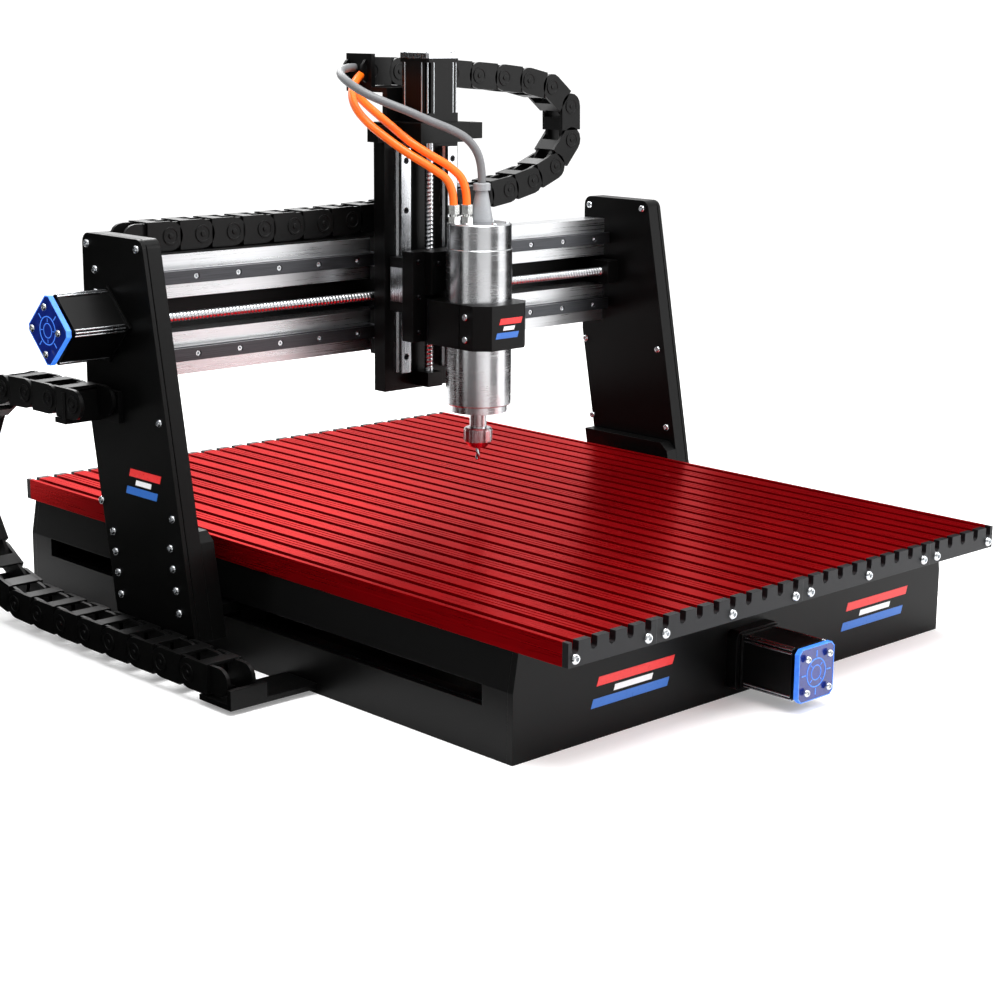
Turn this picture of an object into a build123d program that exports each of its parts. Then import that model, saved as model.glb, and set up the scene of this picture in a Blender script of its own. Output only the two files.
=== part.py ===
from build123d import *
import math
import os

# Desktop gantry CNC router. Millimetres, +Z up. The origin is the middle of the base's
# underside. +X runs from the left leg to the right leg, +Y runs to the back.

# ---- overall sizes ---------------------------------------------------------------------
base_length = 880.0
base_width = 712.0
base_height = 116.5
table_length = 964.0
table_overhang = 72.0          # how far the table reaches out past the front panel
table_thickness = 25.0
gantry_y = 20.0                # front edge of the cross plate under the table
carriage_x = 16.0              # middle of the carriage
beam_spacing = 90.0            # between the two beams' middles
beam_mid_z = 378.0             # between the beams, and the height of the X screw

# ---- sheet, plate and profile sizes ----------------------------------------------------
panel_thickness = 8.0
side_taper = 7.0               # how far the top of each side leans in
kink_z = 52.0                  # where the sides start to lean in
window_z = (52.0, 74.0)        # the long window in each side, for the cross plate
window_end = 36.0              # solid wall left at each end of the window
foot_flange = 40.0
foot_thickness = 6.0
bottom_thickness = 3.0
ledge_z = 30.0                 # seat of the Y rails
ledge_thickness = 8.0
ledge_reach = 48.0
table_flange = 40.0
cross_member_width = 40.0
cross_member_y = (-300.0, 0.0, 300.0)

# ---- table -----------------------------------------------------------------------------
slot_count = 28
slot_pitch = 25.5
slots_per_panel = (5, 9, 9, 5)
table_edge = 9.5               # from the outer slots' middles to the table's edges
slot_mouth = 8.0
slot_mouth_depth = 4.5
slot_room = 15.0
slot_depth = 11.5
land_groove = 1.6
land_groove_depth = 1.0
land_groove_offset = 3.4
end_plate_thickness = 8.0
notch_width = 9.0
notch_depth = 12.0
plate_screw_slots = (1, 5, 6, 10, 14, 15, 19, 23, 24, 28)
plate_screw_drop = 14.0
plate_screw_radius = 2.5
plate_screw_head = 5.6
plate_screw_head_height = 3.4
plate_screw_grip = 10.0        # how far the screws enter the table panels

# ---- rails and blocks ------------------------------------------------------------------
rail_size = 15.0
rail_waist = 10.5
rail_hole_pitch = 60.0
rail_hole_radius = 3.9
rail_hole_depth = 6.0
block_rise = 28.0              # from a rail's seat to its block's outer face
block_foot_gap = 4.3
block_gap = 0.4                # clearance of a block around its rail
y_rail_x = 324.0
y_rail_length = 850.0
x_rail_length = 780.0
z_rail_length = 275.0
z_rail_bottom = 286.0
z_rail_offset = 38.0           # from the Z screw to each Z rail

# ---- legs and beams --------------------------------------------------------------------
leg_outer_x = 418.5
leg_thickness = 24.0
leg_groove = 1.2               # seam between the two plates that make up a leg
leg_groove_at = 5.0
inner_plate_thickness = 18.0
inner_plate_top = 155.0
leg_bottom = 38.0
leg_top = 477.0
leg_kink_z = 292.0
leg_slope = 0.19
leg_front_bottom = gantry_y - 19.5
leg_back = leg_front_bottom + 201.0
leg_corner = 12.0
screw_room = 40.0              # height between the beams, for the X screw and its nut
beam_height = beam_spacing - screw_room
beam_depth = 33.0
beam_wall = 4.0
beam_front = gantry_y + 143.5
back_plate_thickness = 5.0
cross_plate_thickness = 12.0
cross_plate_width = 120.0
leg_screw_radius = 3.0
leg_screw_head = 4.6
leg_screw_head_height = 2.6
leg_screw_length = 12.0
# seen from the side, each as (distance behind the leg's front bottom corner, height)
leg_screw_places = (
    (191.0, 465.0), (93.0, 466.0), (176.0, 437.0), (176.0, 411.0), (58.0, 278.0), (194.0, 278.0),
    (178.0, 171.0), (38.0, 173.0), (156.0, 138.0), (152.0, 115.0), (148.0, 91.0), (143.0, 66.0),
    (43.0, 139.0), (39.0, 116.0), (34.0, 92.0), (29.0, 67.0))

# ---- screws, nuts and bearings ---------------------------------------------------------
screw_radius = 6.0
screw_gap = 0.05               # running clearance of a screw in its bearings and nut
spigot_radius = 4.0
coupling_radius = 11.0
coupling_length = 20.0
bearing_length = 20.0
bearing_half = 15.0
nut_half = 15.0
y_screw_z = 43.0
x_screw_front = 13.0           # how far the X screw runs in front of the beams' faces
z_screw_front = 14.0           # how far the Z screw runs in front of the back plate

# ---- motors ----------------------------------------------------------------------------
motor_size = 57.0
motor_length = 66.0
motor_flange = 3.0
motor_corner = 7.0
bell_length = 11.0
cover_gap = 5.0
cover_thickness = 6.0
cover_size = 59.0
cover_notch = 7.0
motor_bore = 5.0
y_motor_spacer = 14.0
z_motor_size = 52.0
z_motor_length = 82.0

# ---- carriage and Z axis ---------------------------------------------------------------
block_room = 34.0              # height between the X rails' blocks
x_block_width = beam_spacing - block_room
x_block_length = 92.0
z_plate_width = 120.0
z_plate_thickness = 20.0
z_plate_bottom = 262.0
z_plate_top = 568.0
motor_mount_height = 24.0
motor_mount_reach = 64.0
motor_mount_front_width = 80.0
motor_mount_wings = (10.0, 42.0)
bottom_bearing_z = (266.0, 284.0)
z_block_width = 34.0
z_block_length = 66.0
carriage_plate_width = 112.0
carriage_plate_thickness = 20.0
carriage_plate_z = (329.0, 439.0)
z_block_bottom = 364.0
z_nut_z = (374.0, 426.0)
head_block_z = (387.0, 439.0)
head_block_depth = 14.0
head_block_width = 76.0

# ---- spindle ---------------------------------------------------------------------------
spindle_radius = 40.0
spindle_clearance = 17.0       # from the carriage plate's face to the spindle's side
spindle_stand_off = spindle_radius + spindle_clearance
spindle_z = (256.0, 446.0)
cap_step = 1.0
cap_radius = spindle_radius - cap_step
cap_height = 30.0
nose_step = 4.7
nose_radius = spindle_radius - nose_step
nose_height = 9.0
shaft_radius = 10.5
shaft_bottom = 226.0
collet_nut_radius = 17.0
collet_nut_height = 24.0
bit_radius = 3.175
bit_length = 18.0
clamp_z = (328.0, 382.0)
clamp_wall = 4.0
clamp_half = spindle_radius + clamp_wall
clamp_nose = 12.0
clamp_front = spindle_radius + clamp_nose
clamp_nose_half = 27.0
clamp_chamfer_back = 16.0
clamp_slit = 2.0
fit_gap = 0.05
fitting_height = 21.0
fitting_places = ((-24.0, 20.0), (-9.0, 13.0))
fitting_radius = 6.5
relief_place = (13.0, 10.0)
relief_height = 46.0
relief_radius = 13.5

# ---- cable chains ----------------------------------------------------------------------
x_chain_height = 36.0
x_chain_width = 40.0
x_chain_left = -385.0
x_chain_turn_x = 254.0
x_chain_back = 48.5            # from the beams' front face to the chain's far side
x_chain_top_z = 668.0
tray_thickness = 2.0
y_chain_height = 36.0
y_chain_width = 48.0
y_chain_gap = 5.5              # between the leg and the chain
y_chain_floor = 12.0
y_chain_top_z = 310.0
y_chain_front = -130.0
y_chain_turn_y = 300.0
y_chain_leg_end = 170.0
bracket_thickness = 6.0

# ---- places worked out from the sizes above --------------------------------------------
half_length = base_length / 2
half_width = base_width / 2
table_front = -half_length - table_overhang
table_back = table_front + table_length
table_top = base_height + table_thickness
leg_inner_x = leg_outer_x - leg_thickness
foot_inner_x = leg_inner_x - inner_plate_thickness
beam_back = beam_front + beam_depth
beam_top_z = beam_mid_z + beam_spacing / 2 + beam_height / 2
x_screw_y = beam_front - x_screw_front
plate_back = beam_front - block_rise
plate_front = plate_back - z_plate_thickness
z_screw_y = plate_front - z_screw_front
carriage_back = plate_front - block_rise
carriage_front = carriage_back - carriage_plate_thickness
spindle_y = carriage_front - spindle_stand_off
mount_top = z_plate_top + motor_mount_height
cross_plate_z = ledge_z + block_rise
cap_top = spindle_z[1] + cap_height
chain_y = (beam_front + x_chain_back - x_chain_width, beam_front + x_chain_back)
chain_floor_z = beam_top_z + tray_thickness
comb_x = carriage_x - 39.0
y_chain_x = (-leg_outer_x - y_chain_gap - y_chain_width, -leg_outer_x - y_chain_gap)
y_chain_top = y_chain_top_z - y_chain_height

pieces = {}


# ---- small helpers ---------------------------------------------------------------------
def block(x, y, z):
    """A box between pairs of coordinates."""
    middle = [(a + b) / 2 for a, b in (x, y, z)]
    return Pos(*middle) * Box(x[1] - x[0], y[1] - y[0], z[1] - z[0])


def rod(start, axis, length, radius):
    """A round bar that runs from a point along +X, +Y or +Z."""
    turn = {"x": Rot(0, 90, 0), "y": Rot(-90, 0, 0), "z": Rot(0, 0, 0)}[axis]
    bar = Cylinder(radius, length, align=(Align.CENTER, Align.CENTER, Align.MIN))
    return Pos(*start) * turn * bar


def outline(points):
    return make_face(Polyline([*points, points[0]]))


def along_y(points, y0, y1):
    """A section in X and Z, drawn from y0 to y1."""
    plane = Plane(origin=(0, y1, 0), x_dir=(1, 0, 0), z_dir=(0, -1, 0))
    return extrude(plane * outline(points), amount=y1 - y0)


def along_x(points, x0, x1):
    """A section in Y and Z, drawn from x0 to x1."""
    plane = Plane(origin=(x0, 0, 0), x_dir=(0, 1, 0), z_dir=(1, 0, 0))
    return extrude(plane * outline(points), amount=x1 - x0)


def mirrored(solid):
    return mirror(solid, about=Plane.YZ)


def group(solids):
    return Compound(children=list(solids))


def rail_section(half, waist, height, seat, sign):
    """Outline of a profile rail that stands on a seat and reaches out along +-2nd axis."""
    steps = ((half, 0), (half, 4.5), (waist, 7), (waist, 9.5), (half, 12), (half, height))
    right = [(u, seat + sign * v) for u, v in steps]
    return right + [(-u, v) for u, v in reversed(right)]


# ---- base ------------------------------------------------------------------------------
lean_top = half_width - side_taper
side_points = [
    (-half_width, 0), (-half_width + foot_flange, 0), (-half_width + foot_flange, foot_thickness),
    (-half_width + panel_thickness, foot_thickness), (-half_width + panel_thickness, ledge_z - ledge_thickness),
    (-half_width + panel_thickness + ledge_reach, ledge_z - ledge_thickness),
    (-half_width + panel_thickness + ledge_reach, ledge_z),
    (-half_width + panel_thickness, ledge_z), (-half_width + panel_thickness, window_z[1]),
    (-lean_top + panel_thickness, base_height - panel_thickness),
    (-lean_top + table_flange, base_height - panel_thickness),
    (-lean_top + table_flange, base_height), (-lean_top, base_height), (-half_width, window_z[1])]
side_y = (-half_length + panel_thickness, half_length - panel_thickness)
side = along_y(side_points, *side_y)
side -= block((-half_width - 1, -half_width + panel_thickness + 1),
              (side_y[0] + window_end, side_y[1] - window_end), window_z)
pieces["base_side_left"] = side
pieces["base_side_right"] = mirrored(side)

panel_points = [(-half_width, 0), (half_width, 0), (half_width, window_z[1]), (lean_top, base_height),
                (-lean_top, base_height), (-half_width, window_z[1])]
front_panel = along_y(panel_points, -half_length, side_y[0])
front_panel -= rod((0, -half_length - 1, y_screw_z), "y", panel_thickness + 2, coupling_radius + 3)
pieces["base_end_panels"] = group([front_panel, along_y(panel_points, side_y[1], half_length)])
pieces["base_bottom_plate"] = block((-half_width + foot_flange, half_width - foot_flange), side_y,
                                    (0, bottom_thickness))

inside_half = lean_top - panel_thickness - 0.5
flange_inner = lean_top - table_flange - 0.5
member_points = [
    (-inside_half, window_z[1] + 6), (inside_half, window_z[1] + 6),
    (inside_half, base_height - panel_thickness), (flange_inner, base_height - panel_thickness),
    (flange_inner, base_height), (-flange_inner, base_height),
    (-flange_inner, base_height - panel_thickness), (-inside_half, base_height - panel_thickness)]
pieces["table_cross_members"] = group(
    along_y(member_points, y - cross_member_width / 2, y + cross_member_width / 2)
    for y in cross_member_y)

y_rail = along_y([(x - y_rail_x, z) for x, z in
                  rail_section(rail_size / 2, rail_waist / 2, rail_size, ledge_z, 1)],
                 -y_rail_length / 2, y_rail_length / 2)
pieces["y_rails"] = group([y_rail, mirrored(y_rail)])

# ---- table -----------------------------------------------------------------------------
first_slot = -(slot_count - 1) * slot_pitch / 2
slot_x = [first_slot + i * slot_pitch for i in range(slot_count)]
table_half = -first_slot + table_edge
panel_ends = [-table_half]
for count in slots_per_panel[:-1]:
    slots_so_far = sum(slots_per_panel[:len(panel_ends)])
    panel_ends.append(slot_x[slots_so_far - 1] + slot_pitch / 2)
panel_ends.append(table_half)
panel_y = (table_front + end_plate_thickness, table_back - end_plate_thickness)
screw_z = table_top - plate_screw_drop


def groove(x):
    """A shallow groove in a land, as outline points from left to right."""
    w = land_groove / 2
    low = table_top - land_groove_depth
    return [(x - w, table_top), (x - w, low), (x + w, low), (x + w, table_top)]


def beside(x, side):
    """One side of a land that stands beside the slot at x, as outline points from floor to top."""
    mouth, room = x + side * slot_mouth / 2, x + side * slot_room / 2
    mouth_z, floor_z = table_top - slot_mouth_depth, table_top - slot_depth
    return [(room, floor_z), (room, mouth_z), (mouth, mouth_z), (mouth, table_top)]


def edge(x):
    return [(x, table_top - slot_depth), (x, table_top)]


plate_screws = [slot_x[i - 1] for i in plate_screw_slots]
front_plates, rear_plates = [], []
slots_so_far = 0
for number, count in enumerate(slots_per_panel, 1):
    left, right = panel_ends[number - 1], panel_ends[number]
    # the panel is drawn as its floor and the lands that stand on it
    ends = [left] + slot_x[slots_so_far:slots_so_far + count] + [right]
    panel = [block((left, right), panel_y, (base_height, table_top - slot_depth))]
    for i, (a, b) in enumerate(zip(ends, ends[1:])):
        points = edge(a) if i == 0 else beside(a, 1)
        if (slots_so_far + i) % 2 == 0 and 0 < i < count:
            points = points + groove((a + b) / 2 - land_groove_offset)
            points = points + groove((a + b) / 2 + land_groove_offset)
        points = points + list(reversed(edge(b) if i == count else beside(b, -1)))
        panel.append(along_y(points, *panel_y))
    plate = [(left, base_height), (left, table_top), (right, table_top), (right, base_height)]
    front = along_y(plate, table_front, panel_y[0])
    rear = along_y(plate, panel_y[1], table_back)
    for i in range(slots_so_far, slots_so_far + count):
        notch_floor = table_top - notch_depth + notch_width / 2
        for y, end in ((table_front, "front"), (panel_y[1], "rear")):
            across = (slot_x[i] - notch_width / 2, slot_x[i] + notch_width / 2)
            cut = block(across, (y - 1, y + end_plate_thickness + 1), (notch_floor, table_top + 1))
            cut += rod((slot_x[i], y - 1, notch_floor), "y", end_plate_thickness + 2, notch_width / 2)
            if end == "front":
                front -= cut
            else:
                rear -= cut
    # tapped holes for the plate screws
    for x in plate_screws:
        if left < x < right:
            hole = rod((x, table_front - 1, screw_z - 3), "y", end_plate_thickness + plate_screw_grip + 1,
                       plate_screw_radius + screw_gap)
            front, panel[0] = front - hole, panel[0] - hole
            hole = rod((x, panel_y[1] - plate_screw_grip, screw_z - 3), "y",
                       end_plate_thickness + plate_screw_grip + 1, plate_screw_radius + screw_gap)
            rear, panel[0] = rear - hole, panel[0] - hole
    pieces[f"table_panel_{number}"] = group(panel)
    front_plates.append(front)
    rear_plates.append(rear)
    slots_so_far += count
pieces["table_end_plates"] = group(front_plates + rear_plates)


def plate_screw(x, y, inward):
    shank = rod((x, min(y, y + inward * (end_plate_thickness + plate_screw_grip)), screw_z - 3), "y",
                end_plate_thickness + plate_screw_grip, plate_screw_radius)
    head = rod((x, min(y, y - inward * plate_screw_head_height), screw_z - 3), "y",
               plate_screw_head_height, plate_screw_head)
    return shank + head


pieces["table_plate_screws"] = group(
    [plate_screw(x, table_front, 1) for x in plate_screws]
    + [plate_screw(x, table_back, -1) for x in plate_screws])


# ---- motors ----------------------------------------------------------------------------
def motor(size, length, corner, bore_depth):
    """A square motor whose shaft face is at z = 0 and whose body runs to -length."""
    whole = Box(size, size, length, align=(Align.CENTER, Align.CENTER, Align.MAX))
    half = size / 2
    waist = length - 2 * bell_length
    for sx in (-1, 1):
        for sy in (-1, 1):
            whole -= Pos(sx * half, sy * half, -bell_length - waist) * Box(
                2 * corner, 2 * corner, waist, align=(Align.CENTER, Align.CENTER, Align.MIN))
    whole = chamfer(whole.edges().filter_by(Axis.Z).filter_by(
        lambda e: abs(e.length - bell_length) < 0.1 and abs(abs(e.center().X) - half) < 0.1
        and abs(abs(e.center().Y) - half) < 0.1), 2.5)
    return whole - Pos(0, 0, -bore_depth) * Cylinder(motor_bore, bore_depth + 1, align=(
        Align.CENTER, Align.CENTER, Align.MIN))


def covered_motor():
    """The motor with its mounting flange and the four posts of its cover."""
    body = Pos(0, 0, -motor_flange) * motor(motor_size, motor_length, motor_corner, 12)
    flange = Box(motor_size + 4, motor_size + 4, motor_flange,
                 align=(Align.CENTER, Align.CENTER, Align.MAX))
    body += flange - Pos(0, 0, -motor_flange - 1) * Cylinder(
        motor_bore, motor_flange + 2, align=(Align.CENTER, Align.CENTER, Align.MIN))
    reach = motor_size / 2 - 10
    for sx in (-1, 1):
        for sy in (-1, 1):
            body += Pos(sx * reach, sy * reach, -motor_flange - motor_length - cover_gap) * Cylinder(
                2.5, cover_gap + 1, align=(Align.CENTER, Align.CENTER, Align.MIN))
    return body


def motor_cover():
    """The clear plate behind the motor, square with a notch in each corner."""
    top = -motor_flange - motor_length - cover_gap
    plate = Pos(0, 0, top) * Box(cover_size, cover_size, cover_thickness,
                                 align=(Align.CENTER, Align.CENTER, Align.MAX))
    for sx in (-1, 1):
        for sy in (-1, 1):
            plate -= Pos(sx * cover_size / 2, sy * cover_size / 2, top) * Rot(0, 0, 45) * Box(
                cover_notch, cover_notch, 3 * cover_thickness)
    return plate


x_motor_place = Pos(-leg_outer_x, x_screw_y, beam_mid_z) * Rot(0, 90, 0) * Rot(0, 0, 45)
y_motor_place = Pos(0, -half_length - y_motor_spacer, y_screw_z) * Rot(-90, 0, 0)
pieces["x_motor"] = x_motor_place * covered_motor()
pieces["x_motor_cover"] = x_motor_place * motor_cover()
y_spacer = block((-36, 36), (-half_length - y_motor_spacer, -half_length), (y_screw_z - 33, y_screw_z + 33))
y_spacer = fillet(y_spacer.edges().filter_by(Axis.Y), 8)
y_spacer -= rod((0, -half_length - y_motor_spacer - 1, y_screw_z), "y", y_motor_spacer + 2,
                coupling_radius + 3)
pieces["y_motor_mount"] = y_spacer
pieces["y_motor"] = y_motor_place * covered_motor()
pieces["y_motor_cover"] = y_motor_place * motor_cover()


# ---- Y screw and its bearings ----------------------------------------------------------
def bearing(x, y, z, through):
    """A bearing block with a bore along one axis."""
    solid = block(x, y, z)
    middle = [(a + b) / 2 for a, b in (x, y, z)]
    i = "xyz".index(through)
    middle[i] = (x, y, z)[i][0] - 1
    length = (x, y, z)[i][1] - (x, y, z)[i][0] + 2
    return solid - rod(middle, through, length, screw_radius + screw_gap)


half = bearing_half
y_bearing_front = bearing((-half, half), (side_y[0], side_y[0] + bearing_length),
                          (y_screw_z - half, y_screw_z + half), "y")
y_bearing_rear = bearing((-half, half), (side_y[1] - bearing_length, side_y[1]),
                         (y_screw_z - half, y_screw_z + half), "y")
pieces["y_screw_bearings"] = group([y_bearing_front, y_bearing_rear])


def ball_screw(length, coupling_start, spigot_end):
    """A screw along +Z with its top at z = 0, a coupling above it and a spigot on top."""
    screw = Pos(0, 0, -length) * Cylinder(screw_radius, length, align=(
        Align.CENTER, Align.CENTER, Align.MIN))
    screw += Cylinder(spigot_radius, spigot_end, align=(Align.CENTER, Align.CENTER, Align.MIN))
    screw += Pos(0, 0, coupling_start) * Cylinder(coupling_radius, coupling_length, align=(
        Align.CENTER, Align.CENTER, Align.MIN))
    return screw


y_screw_length = side_y[1] - 0.5 - side_y[0]
y_screw_place = Pos(0, side_y[0], y_screw_z) * Rot(90, 0, 0)
pieces["y_ball_screw"] = y_screw_place * ball_screw(
    y_screw_length, 0.5, y_motor_spacer + panel_thickness + motor_flange + 6)

# ---- gantry ----------------------------------------------------------------------------
foot_back = leg_back - leg_slope * (leg_kink_z - leg_bottom)
leg_points = [
    (leg_front_bottom, leg_bottom), (foot_back, leg_bottom), (leg_back, leg_kink_z),
    (leg_back, leg_top), (leg_front_bottom + leg_slope * (leg_top - leg_bottom), leg_top)]
leg = along_x(leg_points, -leg_outer_x, -leg_inner_x)
leg = fillet(leg.edges().filter_by(Axis.X).group_by(Axis.Z)[-1], leg_corner)
seam_face = outline([(y, z) for y, z in leg_points])
seam_ring = extrude(Plane(origin=(-leg_outer_x + leg_groove_at, 0, 0), x_dir=(0, 1, 0),
                          z_dir=(1, 0, 0)) * (seam_face - offset(seam_face, -leg_groove)),
                    amount=leg_groove)
leg -= seam_ring
leg_screws = []
for back, height in leg_screw_places:
    y = leg_front_bottom + back
    leg -= rod((-leg_outer_x - 1, y, height), "x", leg_screw_length + 1.2, leg_screw_radius + screw_gap)
    leg_screws.append(
        rod((-leg_outer_x - leg_screw_head_height, y, height), "x", leg_screw_head_height, leg_screw_head)
        + rod((-leg_outer_x, y, height), "x", leg_screw_length, leg_screw_radius))
    if height > inner_plate_top:
        # the far end of the same bolt, closed by a dome nut on the inner face
        leg_screws.append(rod((-leg_inner_x, y, height), "x", leg_screw_head_height, leg_screw_head))
leg_left = leg - rod((-leg_outer_x - 1, x_screw_y, beam_mid_z), "x", leg_thickness + 2, coupling_radius + 3)
beam_room = block((-leg_inner_x - 3, -leg_inner_x + 1), (beam_front, beam_back + back_plate_thickness),
                  (beam_mid_z - 80, beam_mid_z + 80))
leg_screws = [s for s in leg_screws if (s & beam_room) is None or not (s & beam_room).solids()]
pieces["gantry_leg_left"] = leg_left
pieces["gantry_leg_right"] = mirrored(leg)
pieces["leg_screws"] = group(leg_screws + [mirrored(s) for s in leg_screws])
foot_points = [
    (leg_front_bottom, leg_bottom), (foot_back, leg_bottom),
    (foot_back + leg_slope * (inner_plate_top - leg_bottom), inner_plate_top),
    (leg_front_bottom + leg_slope * (inner_plate_top - leg_bottom) + 10, inner_plate_top),
    (leg_front_bottom + leg_slope * (inner_plate_top - leg_bottom - 10), inner_plate_top - 10)]
foot = along_x(foot_points, -leg_inner_x, -foot_inner_x)
pieces["leg_inner_plates"] = group([foot, mirrored(foot)])


def beam(mid_z):
    low, high = mid_z - beam_height / 2, mid_z + beam_height / 2
    shell = block((-leg_inner_x, leg_inner_x), (beam_front, beam_back), (low, high))
    return shell - block((-leg_inner_x, leg_inner_x), (beam_front + beam_wall, beam_back - beam_wall),
                         (low + beam_wall, high - beam_wall))


rail_mids = (beam_mid_z + beam_spacing / 2, beam_mid_z - beam_spacing / 2)
pieces["gantry_beams"] = group(beam(z) for z in rail_mids)
pieces["beam_back_plate"] = block(
    (-leg_inner_x, leg_inner_x), (beam_back, beam_back + back_plate_thickness),
    (rail_mids[1] - 22, rail_mids[0] + 22))

x_rail_points = [(beam_front - v, u) for u, v in
                 rail_section(rail_size / 2, rail_waist / 2, rail_size, 0, 1)]


def x_rail(mid_z):
    bar = along_x([(y, z + mid_z) for y, z in x_rail_points], -x_rail_length / 2, x_rail_length / 2)
    first = -x_rail_length / 2 + rail_hole_pitch / 2
    for i in range(int(x_rail_length / rail_hole_pitch)):
        bar -= rod((first + i * rail_hole_pitch, beam_front - rail_size - 1, mid_z), "y",
                   rail_hole_depth + 1, rail_hole_radius)
    return bar


pieces["x_rails"] = group(x_rail(z) for z in rail_mids)

cross_y = (gantry_y, gantry_y + cross_plate_width)
pieces["gantry_cross_plate"] = block((-foot_inner_x, foot_inner_x), cross_y,
                                     (cross_plate_z, cross_plate_z + cross_plate_thickness))


def y_block(x, y0, y1):
    w = 17.0
    body = block((x - w, x + w), (y0, y1), (ledge_z + block_foot_gap, cross_plate_z))
    return body - block((x - rail_size / 2 - block_gap, x + rail_size / 2 + block_gap), (y0 - 1, y1 + 1),
                        (ledge_z, ledge_z + rail_size + block_gap))


y_block_spans = ((cross_y[0], cross_y[0] + 52), (cross_y[1] - 52, cross_y[1]))
pieces["y_bearing_blocks"] = group(
    y_block(x, *span) for x in (-y_rail_x, y_rail_x) for span in y_block_spans)
pieces["y_ball_nut"] = block((-22, 22), (cross_y[0] + 40, cross_y[0] + 80),
                             (y_screw_z - nut_half, cross_plate_z)) - rod(
    (0, cross_y[0] + 39, y_screw_z), "y", 42, screw_radius + screw_gap)

half = bearing_half
x_bearing = bearing((-leg_inner_x, -leg_inner_x + bearing_length), (x_screw_y - half, x_screw_y + half),
                    (beam_mid_z - half, beam_mid_z + half), "x")
pieces["x_screw_bearings"] = group([x_bearing, mirrored(x_bearing)])
x_screw_place = Pos(-leg_inner_x + 0.5, x_screw_y, beam_mid_z) * Rot(0, -90, 0)
pieces["x_ball_screw"] = x_screw_place * ball_screw(
    2 * leg_inner_x - 1, 1.5, leg_thickness + motor_flange + 6)

pieces["x_chain_tray"] = block((x_chain_left, 150), (beam_front + 2, chain_y[1] + 2),
                               (beam_top_z, chain_floor_z)) + block(
    (x_chain_left, 150), (chain_y[1] + 0.4, chain_y[1] + 2.4), (beam_top_z, chain_floor_z + 24))

y_bracket = block((-leg_outer_x - y_chain_gap, -leg_outer_x), (y_chain_leg_end - 40, y_chain_leg_end + 16),
                  (y_chain_top - bracket_thickness, y_chain_top_z - 6))
y_bracket += block((y_chain_x[0], -leg_outer_x), (y_chain_leg_end - 6, y_chain_leg_end + 16),
                   (y_chain_top - bracket_thickness, y_chain_top))
y_bracket += block((y_chain_x[0], -leg_outer_x), (y_chain_leg_end - 6, y_chain_leg_end),
                   (y_chain_top - bracket_thickness, y_chain_top_z - 6))
pieces["y_chain_leg_bracket"] = y_bracket
floor_bracket = block((y_chain_x[0], -half_width), (y_chain_front - 6, y_chain_front + 50),
                      (y_chain_floor - bracket_thickness, y_chain_floor))
floor_bracket += block((y_chain_x[0], y_chain_x[1]), (y_chain_front - 6, y_chain_front),
                       (y_chain_floor - bracket_thickness, y_chain_floor + 16))
pieces["y_chain_floor_bracket"] = floor_bracket


def chain_loop(low, high, height, turn, lower_end, upper_end):
    """A cable chain's side view: a lower run, a half turn, and an upper run back."""
    mid_low, mid_high = low + height / 2, high - height / 2
    radius, centre = (mid_high - mid_low) / 2, (mid_high + mid_low) / 2
    outer, inner = radius + height / 2, radius - height / 2
    lower = Polyline((lower_end, low + height), (lower_end, low), (turn, low))
    arc_out = ThreePointArc((turn, low), (turn + outer, centre), (turn, high))
    upper = Polyline((turn, high), (upper_end, high), (upper_end, high - height), (turn, high - height))
    arc_in = ThreePointArc((turn, high - height), (turn + inner, centre), (turn, low + height))
    last = Line((turn, low + height), (lower_end, low + height))
    return make_face(lower.edges() + arc_out.edges() + upper.edges() + arc_in.edges() + last.edges())


x_loop = chain_loop(chain_floor_z, x_chain_top_z, x_chain_height, x_chain_turn_x, x_chain_left, comb_x + 6)
pieces["x_chain"] = extrude(Plane(origin=(0, chain_y[1], 0), x_dir=(1, 0, 0), z_dir=(0, -1, 0)) * x_loop,
                            amount=x_chain_width)
y_loop = chain_loop(y_chain_floor, y_chain_top_z, y_chain_height, y_chain_turn_y, y_chain_front,
                    y_chain_leg_end)
pieces["y_chain"] = extrude(Plane(origin=(y_chain_x[0], 0, 0), x_dir=(0, 1, 0), z_dir=(1, 0, 0)) * y_loop,
                            amount=y_chain_width)

# ---- X carriage ------------------------------------------------------------------------


def x_block(mid_z):
    x = (carriage_x - x_block_length / 2, carriage_x + x_block_length / 2)
    body = block(x, (plate_back, beam_front - block_foot_gap),
                 (mid_z - x_block_width / 2, mid_z + x_block_width / 2))
    return body - block((x[0] - 1, x[1] + 1), (beam_front - rail_size - block_gap, beam_front),
                        (mid_z - rail_size / 2 - block_gap, mid_z + rail_size / 2 + block_gap))


pieces["x_bearing_blocks"] = group(x_block(z) for z in rail_mids)
nut_x = (carriage_x - 22, carriage_x + 22)
pieces["x_ball_nut"] = block(nut_x, (plate_back, x_screw_y + nut_half),
                             (beam_mid_z - nut_half, beam_mid_z + nut_half)) - rod(
    (nut_x[0] - 1, x_screw_y, beam_mid_z), "x", 46, screw_radius + screw_gap)
plate_x = (carriage_x - z_plate_width / 2, carriage_x + z_plate_width / 2)
pieces["z_back_plate"] = block(plate_x, (plate_front, plate_back), (z_plate_bottom, z_plate_top))


def z_rail(x):
    points = rail_section(rail_size / 2, rail_waist / 2, rail_size, 0, 1)
    face = outline([(x + u, plate_front - v) for u, v in points])
    bar = Pos(0, 0, z_rail_bottom) * extrude(face, amount=z_rail_length)
    for i in range(5):
        height = z_rail_bottom + 20 + i * rail_hole_pitch
        if height < z_rail_bottom + z_rail_length - 8:
            bar -= rod((x, plate_front - rail_size - 1, height), "y", rail_hole_depth + 1, rail_hole_radius)
    return bar


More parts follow.
